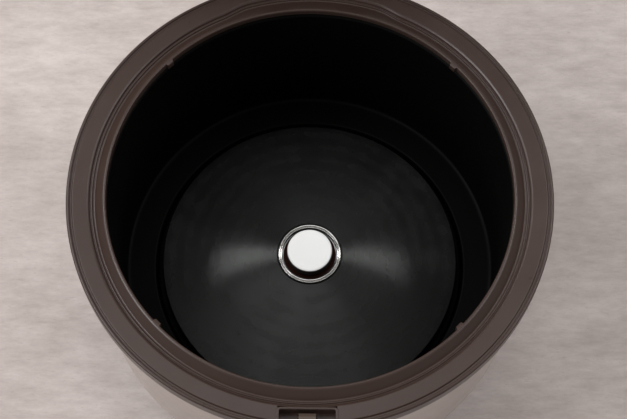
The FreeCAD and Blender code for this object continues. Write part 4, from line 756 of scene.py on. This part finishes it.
def make_lid():
    """The domed lid cover, built shut and swung open. Up its side and round its shoulder it is a profile
    turned about Z, the shoulder being the curve (1-t)^2 A + 2t(1-t) C + t^2 B. Its top runs in straight
    lines from the shoulder circle to the vent's circle, lifted on the dome z = h - R + sqrt(R^2 - r^2).
    The cells in front of the hinge are left out."""
    shoulder_r, hole_r, dome_r = 170.6 * MM, 27.3 * MM, 594.7 * MM
    skirt_r, notch_half, notch_top, wall = 184.6, 36.3, 14.5, 2.4 * MM
    notch = math.asin(notch_half / skirt_r)
    angles = np.linspace(0, TURN, 240, endpoint=False)
    angles = np.sort(np.concatenate([angles, [TURN / 4 - notch, TURN / 4 + notch]]))
    t = np.linspace(0, 1, 12)[:, None]
    first, last, corner = np.array([skirt_r, 15.0]), np.array([170.6, 33.0]), np.array([181.7, 27.2])
    bend = (1 - t) ** 2 * first + 2 * t * (1 - t) * corner + t * t * last
    side = np.concatenate([[[184.0, 0.6], [skirt_r, 1.2], [skirt_r, 7.0], [skirt_r, notch_top]], bend]) * MM
    skirt = revolved(side, angles=angles)
    s = np.linspace(1, 0, 40)[1:, None]
    x = s * shoulder_r * np.cos(angles) + (1 - s) * hole_r * np.cos(angles)
    y = s * shoulder_r * np.sin(angles) + (1 - s) * (VENT_Y + hole_r * np.sin(angles))
    top = np.stack([x, y, LID_HEIGHT - dome_r + np.sqrt(dome_r ** 2 - x * x - y * y)], -1)
    grid = np.concatenate([skirt, top])
    faces = quads_of(len(grid), len(angles))
    middle = grid.reshape(-1, 3)[faces].mean(1)
    gap = ((np.abs(middle[:, 0]) < notch_half * MM) & (middle[:, 1] > 0.15)
           & (middle[:, 2] < notch_top * MM))
    made = piece("lid_dome", "lid", "lid_plastic", swung(grid.reshape(-1, 3)), faces[~gap], ("lid_cover",),
                 50, closed=False)
    thick = made.modifiers.new("wall", "SOLIDIFY")
    thick.thickness, thick.offset = wall, -1.0


# ------------------------------------------------------------------ floor, light and camera

def make_stage():
    """A plain pale floor under the feet, with a soft mottled finish."""
    width, drop = 9, 0.0002
    bpy.ops.mesh.primitive_plane_add(size=width, location=(0, 0, FLOOR - drop))
    ground = bpy.context.object
    ground.name = "pale_floor"
    n = Nodes("pale_floor")
    mottle = n.math("ADD", n.math("MULTIPLY", n.noise(6.5, 8, (1, 2.4, 1), 0.7), 0.6),
                    n.math("MULTIPLY", n.noise(42, 6, (1, 3.0, 1), 0.75), 0.4))
    marks = n.ramp(n.noise(150, 3, (1, 4.5, 1), 0.6), 0, 0.55, 0.6, 0.74)
    tone = n.mix(n.ramp(mottle, 0, 1, 0.38, 0.62), (0.40, 0.342, 0.322), (0.585, 0.52, 0.495))
    n.link(n.mix(marks, tone, (0.34, 0.285, 0.265)), n.shader.inputs["Base Color"])
    n.link(n.ramp(mottle, 0.75, 0.9), n.shader.inputs["Roughness"])
    ground.data.materials.append(n.material)


def lamp(name, place, aim, size, power):
    """A soft square light that looks at a point, with its power in watts."""
    data = bpy.data.lights.new(name, "AREA")
    data.shape, data.size, data.energy = "SQUARE", size, power
    made = bpy.data.objects.new(name, data)
    made.location = place
    made.rotation_mode = "QUATERNION"
    made.rotation_quaternion = (Vector(aim) - Vector(place)).to_track_quat("-Z", "Y")
    bpy.context.scene.collection.objects.link(made)


def make_light():
    """Soft studio light, stronger from the left, over a pale surround."""
    world = bpy.data.worlds.new("studio")
    world.use_nodes = True
    world.node_tree.nodes["Background"].inputs["Color"].default_value = (1.0, 0.985, 0.97, 1)
    world.node_tree.nodes["Background"].inputs["Strength"].default_value = 0.40
    bpy.context.scene.world = world
    lamp("left_softbox", (-1.7, -0.35, 1.6), (0, 0, -0.05), 1.2, 36)
    lamp("right_softbox", (1.7, -0.1, 1.6), (0, 0, -0.05), 1.0, 10)
    lamp("left_strip", (-1.3, 0.9, 2.0), (0, 0, -0.1), 0.5, 17)
    lamp("right_strip", (1.3, 0.9, 2.0), (0, 0, -0.1), 0.5, 13)
    lamp("rear_softbox", (-0.1, 0.5, 2.6), (0, 0, 0), 0.8, 5)


def make_camera():
    """The camera looks down into the well from the front, about 1.26 m away. Its place and the point it
    looks at are in radii of the rim, its lens is in millimetres and its roll in degrees."""
    place = Vector((0.0149, -2.702, 6.268)) * RIM_R
    target = Vector((0.0149, -0.0797, 0.0)) * RIM_R
    lens, film, roll = 95.66, 36, 0.6625
    data = bpy.data.cameras.new("camera")
    data.lens, data.sensor_width = lens, film
    data.clip_start, data.clip_end = 0.01, 50
    made = bpy.data.objects.new("camera", data)
    made.location = place
    made.rotation_mode = "QUATERNION"
    look = (target - place).to_track_quat("-Z", "Y")
    made.rotation_quaternion = look @ Matrix.Rotation(math.radians(roll), 3, "Z").to_quaternion()
    bpy.context.scene.collection.objects.link(made)
    bpy.context.scene.camera = made


finish_part_nodes()
make_rim()
make_pocket()
make_well()
make_plate()
make_thermostat()
make_shell()
make_feet()
make_front()
make_buttons()
make_springs()
make_lid()
make_stage()
make_light()
make_camera()
bpy.context.scene.view_settings.view_transform = "Standard"
